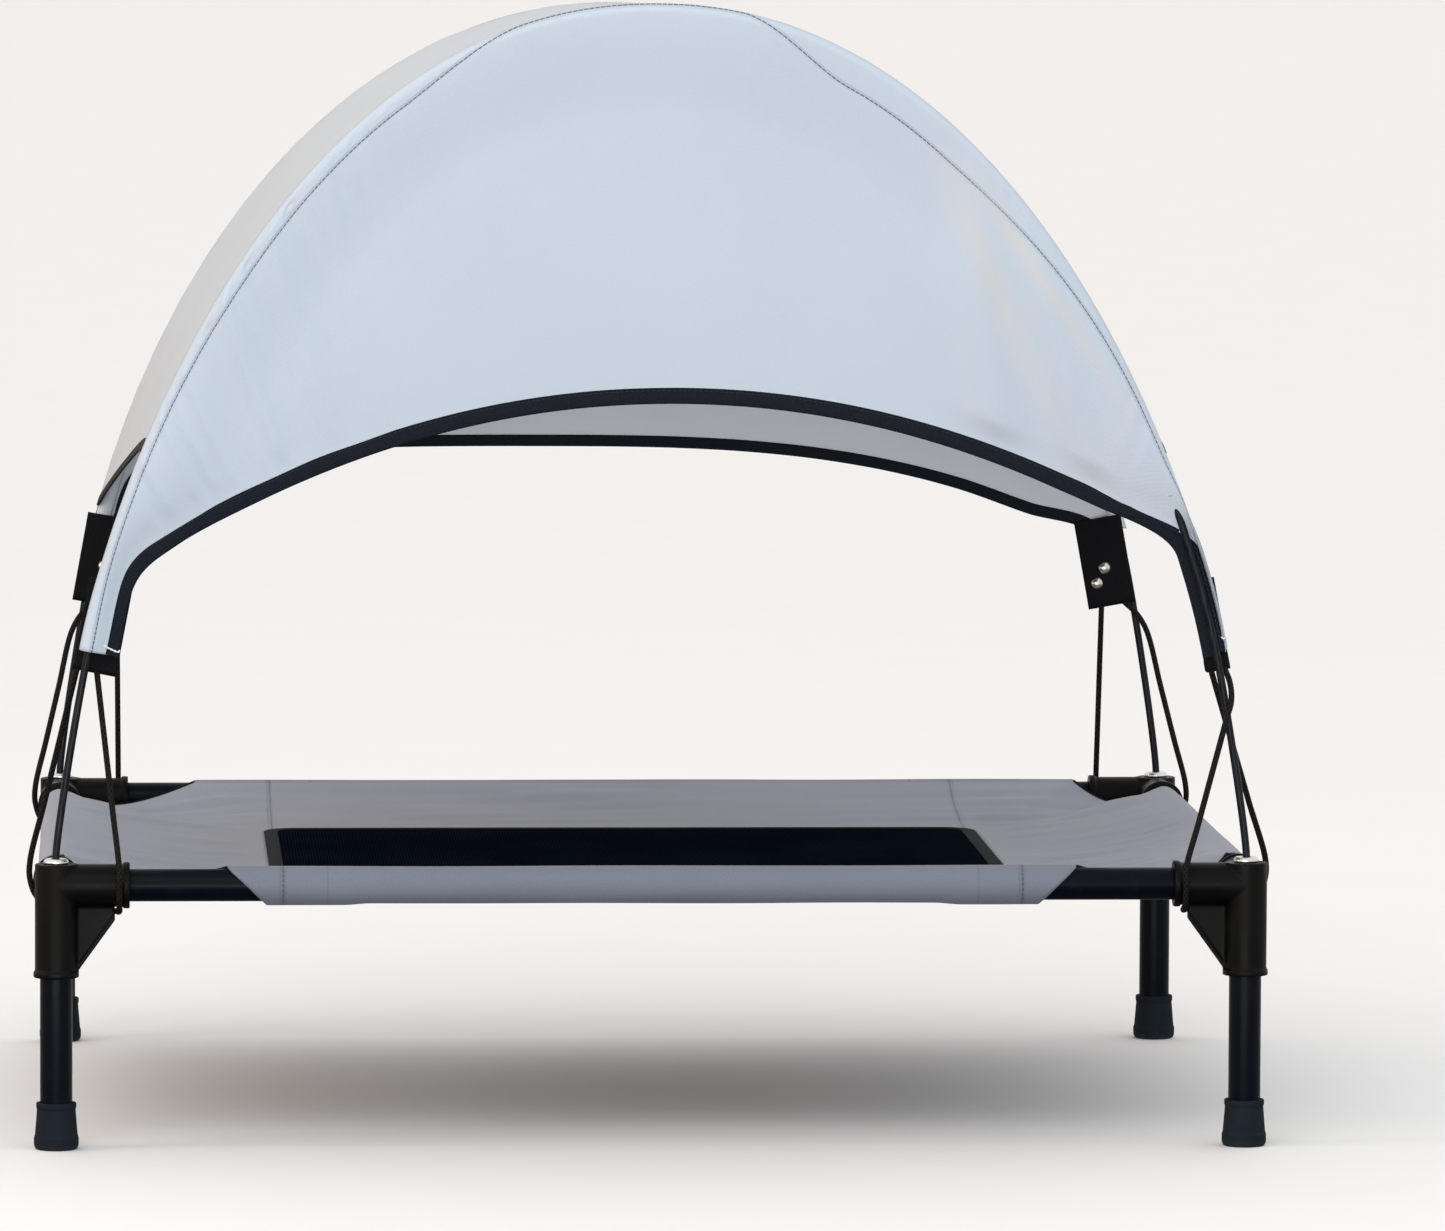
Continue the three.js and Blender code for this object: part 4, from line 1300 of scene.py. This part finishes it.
ROOF_HEM = {"front": 268, "rear": 193}
HEM_RISE = 15.0  # how far the roof's side hem bows up between the arches
ROOF_SAG = 4.0
CANOPY_DEPTH = 600.0


def roof_line(name, across, lift):
    line = LINES[name]
    end = line.share_at_height(ROOF_HEM[name] + lift)
    shares = end + (1 - 2 * end) * np.asarray(across, float)
    return beside_pole(line, shares, 0.2 - WRAP), shares * line.length


def roof():
    columns, count = 400, 110
    across = np.linspace(0, 1, columns)
    rows = []
    for back in np.linspace(0, 1, count):
        rise = HEM_RISE * 4 * back * (1 - back)
        front, front_run = roof_line("front", across, 4 + rise)
        rear, _ = roof_line("rear", across, 4 + rise)
        row = front + (rear - front) * back
        outward = np.gradient(row, axis=0)
        outward = np.stack([-outward[:, 2], np.zeros(columns), outward[:, 0]], axis=1)
        outward /= -np.linalg.norm(outward, axis=1)[:, None]
        from_seam = min(back, 1 - back) * CANOPY_DEPTH
        pucker = np.sin(front_run / 9 + 2 * soft_noise(51, front_run / 55)) * 0.9
        pucker = pucker * math.exp(-from_seam / 16) * min(1, from_seam / 4)
        calm = soft_noise(52, front_run / 110, np.full(columns, back * 6)) * 1.1
        calm = calm * math.sin(math.pi * back)
        sag = -ROOF_SAG * math.sin(math.pi * back)
        rows.append(row + outward * (pucker + calm + sag)[:, None])
    rows = np.array(rows)
    return sheet_piece("roof_cloth", rows, 0.5), rows


def side_tape(side):
    across = 0.0 if side == "right" else 1.0
    section = [(0.0, 0.0), (0.3, 0.8), (1.2, 1.1), (6.8, 1.0), (8.0, 0.7)]
    section += [(u, -o) for u, o in reversed(section[1:])]
    rows = []
    x_side = 1 if side == "right" else -1
    for back in np.linspace(0, 1, 120):
        rise = HEM_RISE * 4 * back * (1 - back)
        sag = ROOF_SAG * math.sin(math.pi * back)
        row = []
        for up, out in section:
            front, _ = roof_line("front", [across], up + rise)
            rear, _ = roof_line("rear", [across], up + rise)
            point = front[0] + (rear[0] - front[0]) * back
            row.append(point + (x_side * (out - sag), 0, 0))
        rows.append(row)
    run = np.linspace(0, CANOPY_DEPTH, len(rows))
    return strip_piece(f"{side}_side_tape", rows, section, run)


def canopy_material(name, colour, seam_and_painted_streaks):
    s = cloth_material(name, colour, 0.03, 0.0009, 0.03, 0.8, 0.1)
    place = s.object_place()
    # Warm beige patches from a noise stretched upright: partly random tone, partly painted warm
    # light reflected off the cloth.
    warm = s.noise(place, 5.0, 2.0, 0.4, (1.0, 0.5, 0.35))
    warm_tone_and_painted_light = s.between(warm, 0.58, 0.78, 0.0, 0.35)
    s.colour(s.mix(warm_tone_and_painted_light, s.base_colour, (0.70, 0.68, 0.655, 1)))
    if seam_and_painted_streaks:
        run, down, _ = s.split(s.cloth_place())
        seam(s, down, 0.0004, run, (0.1, 0.14, 0.23), 0.0005, (0.0036, 0.8))
        # Painted light: two beige streaks set in object space on the valances stand in for warm
        # light reflected off their folds.
        x, _, z = s.split(place)
        for foot, slope, half_width in ((0.195, 0.42, 0.014), (0.213, 0.667, 0.011)):
            drop = s.math("SUBTRACT", 0.635, z)
            middle = s.math("MULTIPLY_ADD", drop, slope, foot)
            away = s.math("ABSOLUTE", s.math("SUBTRACT", x, middle))
            across = s.between(away, half_width, 0.0)
            along = s.math("MULTIPLY", s.between(drop, -0.03, 0.03), s.between(drop, 0.17, 0.08))
            painted_warm_reflection = s.math("MULTIPLY", s.math("MULTIPLY", across, along), 0.6)
            s.base_colour = s.mix(painted_warm_reflection, s.base_colour, (0.66, 0.63, 0.62, 1))
        s.colour(s.base_colour)
    return s.material


CANOPY = canopy_material("canopy_cloth", (0.60, 0.66, 0.72), False)
VALANCES = {
    "front": canopy_material("valance_cloth", (0.56, 0.64, 0.735), True),
    # Painted light: the rear valance is a much lighter copy of the same cloth, standing in for
    # the brighter light on its inner face.
    "rear": canopy_material("rear_valance_cloth", (0.84, 0.87, 0.91), True),
}
HEM = webbing_material("navy_hem_tape", (0.009, 0.012, 0.018))
hem_run, hem_up, _ = HEM.split(HEM.cloth_place())
seam(HEM, hem_up, 0.0088, hem_run, (0.03, 0.034, 0.044), 0.0004)
SIDE_HEM = webbing_material("brown_black_tape", (0.028, 0.024, 0.022))

for name in ARCHES:
    line = LINES[name]
    gap = 0.3 / line.length
    for half, low, high in (("right", 0, 0.5 - gap), ("left", 0.5 + gap, 1)):
        path = line.at(np.linspace(low, high, 220))
        pole = tube_piece(f"{name}_pole_{half}", path, 2.5, 24)
        finished(pole, FIBREGLASS, "canopy", "pole_fibreglass", f"{name}_pole_{half}_half")
    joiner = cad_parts[f"{name}_pole_joiner"]
    joiner.data.materials.clear()
    joiner.data.materials.append(SILVER)
    tube, tube_length = sleeve(name)
    finished(tube, CANOPY, "canopy", "canopy_fabric", f"{name}_pole_sleeve")
    cloth, rows = valance(name)
    finished(cloth, VALANCES[name], "canopy", "canopy_fabric", f"{name}_valance")
    steps = rows[:, 1:] - rows[:, :-1]
    drops = rows[1:] - rows[:-1]
    area = np.linalg.norm(np.cross(steps[:-1], drops[:, :-1]), axis=2).sum()
    width = np.ptp(rows[:, :, 0])
    height = np.ptp(rows[:, :, 2])
    tape = hem_tape(name)
    finished(tape, HEM.material, "canopy", "black_webbing", f"{name}_hem_binding")

cloth, rows = roof()
finished(cloth, CANOPY, "canopy", "canopy_fabric", "canopy_roof")
roof_width = np.linalg.norm(np.diff(rows[0], axis=0), axis=1).sum()
side_tapes = {side: side_tape(side) for side in ("left", "right")}
for side, tape in side_tapes.items():
    finished(tape, SIDE_HEM.material, "canopy", "black_webbing", f"{side}_side_binding")

# ---- Corner tabs, rivets and stitches ---------------------


FOLDS = {"front_right": 14.0}  # width of a tab's near leaf where it is folded lengthwise
FOLD_RADIUS = 1.6


def tab_section(corner, low_n, high_n, count):
    """Points (n, b) of a tab's middle and its direction of thickness, from edge to edge."""
    near = FOLDS.get(corner, high_n - low_n)
    turn = math.pi * FOLD_RADIUS
    section = []
    for w in np.linspace(0, high_n - low_n, count):
        if w <= near:
            section.append((low_n + w, 0, 0, 1))
        elif w <= near + turn:
            angle = (w - near) / FOLD_RADIUS
            across, up = math.sin(angle), math.cos(angle)
            n, b = low_n + near + FOLD_RADIUS * across, FOLD_RADIUS * (1 - up)
            section.append((n, b, -across, up))
        else:
            section.append((low_n + near - (w - near - turn), 2 * FOLD_RADIUS, 0, -1))
    return section


TAB_SHIFT = {"rear_left": -7.5}


def tab_span(corner):
    low_n, high_n, _ = ARCHES[corner.split("_")[0]]["tab"]
    shift = TAB_SHIFT.get(corner, 0)
    return low_n + shift, high_n + shift


def tab_piece(corner):
    """A tab of doubled webbing, folded round the loop at its foot."""
    low_n, high_n = tab_span(corner)
    length = ARCHES[corner.split("_")[0]]["tab"][2]
    place = tab_frame(corner)
    across, along = 40, 44
    section = tab_section(corner, low_n, high_n, across)
    front, back = [], []
    for s in np.linspace(-3.6, length, along):
        swell = 1.9 * math.exp(-((s + 0.4) ** 2) / 9.0)
        rows = ([], [])
        for i, (n, b, turn_n, turn_b) in enumerate(section):
            edge = min(i, across - 1 - i) * (high_n - low_n) / (across - 1)
            half = (TAB_THICKNESS / 2 + swell) * (0.45 + 0.55 * min(1, edge / 1.2))
            half *= max(0.25, min(1.0, (s + 4.0) / 2.2))
            curl = 0.35 * math.sin(n / 5 + s / 17)
            if corner in FOLDS:
                half, curl = min(half, FOLD_RADIUS - 0.3), 0
            middle = TAB_INSET + b + curl * 0.3
            rows[0].append(place(n + turn_n * half, s, middle + turn_b * half))
            rows[1].append(place(n - turn_n * half, s, middle - turn_b * half))
        front.append(rows[0])
        back.append(rows[1])
    grid = np.concatenate([np.array(front), np.array(back)[:, ::-1]], axis=1)
    n_places = np.concatenate(
        [np.linspace(low_n, high_n, across), np.linspace(high_n, low_n, across)]
    )
    uv = np.stack(np.meshgrid(n_places, np.linspace(0, length, along)), axis=2)
    faces = grid_faces(along, 2 * across, closed_columns=True)
    last = (along - 1) * 2 * across
    for i in range(across - 1):
        faces.append((i, i + 1, 2 * across - 2 - i, 2 * across - 1 - i))
        faces.append(
            (last + i + 1, last + i, last + 2 * across - 1 - i, last + 2 * across - 2 - i)
        )
    piece = mesh_piece(f"tab_{corner}", grid.reshape(-1, 3), faces, uv.reshape(-1, 2))
    mesh = bmesh.new()
    mesh.from_mesh(piece.data)
    bmesh.ops.recalc_face_normals(mesh, faces=mesh.faces)
    mesh.to_mesh(piece.data)
    mesh.free()
    piece.data.shade_smooth()
    piece.data.set_sharp_from_angle(angle=math.radians(50))
    return piece


DOME = [(0, 2.9), (1.3, 2.78), (2.5, 2.35), (3.5, 1.65), (4.2, 0.8), (4.5, 0.15)]
DOME += [(4.5, -0.1), (3.4, -0.1), (1.5, -0.1), (1.5, -1.5), (0, -1.5)]
TAB_CLOTH = webbing_material("tab_webbing", (0.005, 0.005, 0.006), 0.0019)

for corner, (x, y) in CORNERS.items():
    name = corner.split("_")[0]
    arch = ARCHES[name]
    place = tab_frame(corner)
    tab = tab_piece(corner)
    finished(tab, TAB_CLOTH.material, "canopy", "black_webbing", f"corner_tab_{corner}")
    low_n, high_n = tab_span(corner)
    rivet_n = arch["rivet"] + TAB_SHIFT.get(corner, 0)
    behind = TAB_INSET + TAB_THICKNESS / 2
    if corner in FOLDS:
        rivet_n, behind = low_n + 4.5, behind + 2 * FOLD_RADIUS
    for level, n, s in (("upper", rivet_n, 24), ("lower", rivet_n + 7, 14)):
        rivet = turned_piece(f"rivet_{level}_{corner}_dome", DOME, 40)
        turn = Matrix.Rotation(math.pi / 2 * y, 3, "X")
        moved(rivet, place(n, s, behind), turn)
        finished(rivet, NICKEL, "canopy", "rivet_metal", f"rivet_{level}_{corner}")


def thread_piece(name, points):
    """A short row of thick white stitches."""
    line = Curve(points)
    t = np.linspace(0, 1, 64)
    radius = 0.42 + 0.28 * np.abs(np.sin(t * math.pi * 5))
    return tube_piece(name, line.at(t), radius, 10)


THREAD = Shader("white_thread", (0.8, 0.8, 0.79), 0.7, Sheen_Weight=0.2)
twist = THREAD.noise(THREAD.object_place(), 1500.0, 2.0, 0.6)
THREAD.colour(THREAD.mix(twist, (0.7, 0.7, 0.69, 1), (0.88, 0.88, 0.87, 1)))
THREAD.bump(twist, 0.0001, 0.5)

left_tab, right_tab = tab_frame("front_left"), tab_frame("front_right")
bartack = thread_piece(
    "stitches_front_left",
    [left_tab(n, s, -1.5) for n, s in ((8.5, 16), (12, 15), (16, 14), (19.3, 13.5), (20.2, 15))],
)
finished(bartack, THREAD.material, "canopy", "canopy_fabric")
bartack = thread_piece(
    "stitches_front_right",
    [right_tab(n, s, b) for n, s, b in ((-8.6, 17.5, 2.2), (-6.6, 17, 1.6), (-5.2, 18.5, 1.2))],
)
finished(bartack, THREAD.material, "canopy", "canopy_fabric")

# ---- Floor, light and world -------------------------------


def floor():
    half = 60000
    piece = mesh_piece(
        "floor",
        [(-half, -half, 0), (half, -half, 0), (half, half, 0), (-half, half, 0)],
        [(0, 1, 2, 3)],
    )
    s = Shader("pale_floor", (0.93, 0.93, 0.93), 0.9)
    s.shader.inputs["Specular IOR Level"].default_value = 0.1
    speck = s.noise(s.object_place(), 6.0, 3.0, 0.5)
    s.colour(s.mix(speck, (0.925, 0.925, 0.925, 1), (0.945, 0.945, 0.945, 1)))
    piece.data.materials.append(s.material)
    piece.visible_diffuse = False
    piece.visible_glossy = False
    piece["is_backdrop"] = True


def area_light(name, place, target, size, power, colour):
    data = bpy.data.lights.new(name, "AREA")
    data.shape = "RECTANGLE"
    data.size, data.size_y = size
    data.energy = power
    data.color = colour
    light = bpy.data.objects.new(name, data)
    bpy.context.scene.collection.objects.link(light)
    light.visible_camera = False
    light.location = place
    aim = Vector(target) - Vector(place)
    light.rotation_euler = aim.to_track_quat("-Z", "Y").to_euler()


def studio_world():
    """Even white light from above that fades to a dim one from below, warmer on the left."""
    world = bpy.data.worlds.new("soft_white")
    bpy.context.scene.world = world
    world.use_nodes = True
    tree = world.node_tree
    place = tree.nodes.new("ShaderNodeTexCoord")
    split = tree.nodes.new("ShaderNodeSeparateXYZ")
    tree.links.new(place.outputs["Generated"], split.inputs[0])

    def between(axis, low, high, to_low, to_high):
        node = tree.nodes.new("ShaderNodeMapRange")
        tree.links.new(split.outputs[axis], node.inputs["Value"])
        limits = {"From Min": low, "From Max": high, "To Min": to_low, "To Max": to_high}
        for socket, value in limits.items():
            node.inputs[socket].default_value = value
        return node.outputs[0]

    level = between("Z", -0.4, -0.02, 0.16, 0.95)
    warmth = between("X", -0.2, -0.9, 0.0, 1.0)
    tint = tree.nodes.new("ShaderNodeMix")
    tint.data_type = "RGBA"
    tint.inputs[6].default_value = (1, 1, 1, 1)
    tint.inputs[7].default_value = (1.0, 0.82, 0.70, 1)
    tree.links.new(warmth, tint.inputs[0])
    background = tree.nodes["Background"]
    tree.links.new(tint.outputs[2], background.inputs["Color"])
    tree.links.new(level, background.inputs["Strength"])


floor()
studio_world()
area_light("key", (-1.0, -3.2, 3.2), (0, 0, 0.4), (2.2, 1.6), 26, (0.93, 0.97, 1.0))
area_light("fill", (-0.4, -4.0, 0.22), (0, 0, 0.5), (2.6, 0.4), 52, (0.98, 0.99, 1.0))
area_light("left", (-3.0, -1.0, 1.2), (0, 0, 0.5), (1.0, 1.0), 18, (1.0, 0.86, 0.72))
scene = bpy.context.scene
scene.view_settings.view_transform = "Standard"

sizes = {"cad": cad_box, "visual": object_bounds()}
{k: [list(corner) for corner in v] for k, v in sizes.items()}
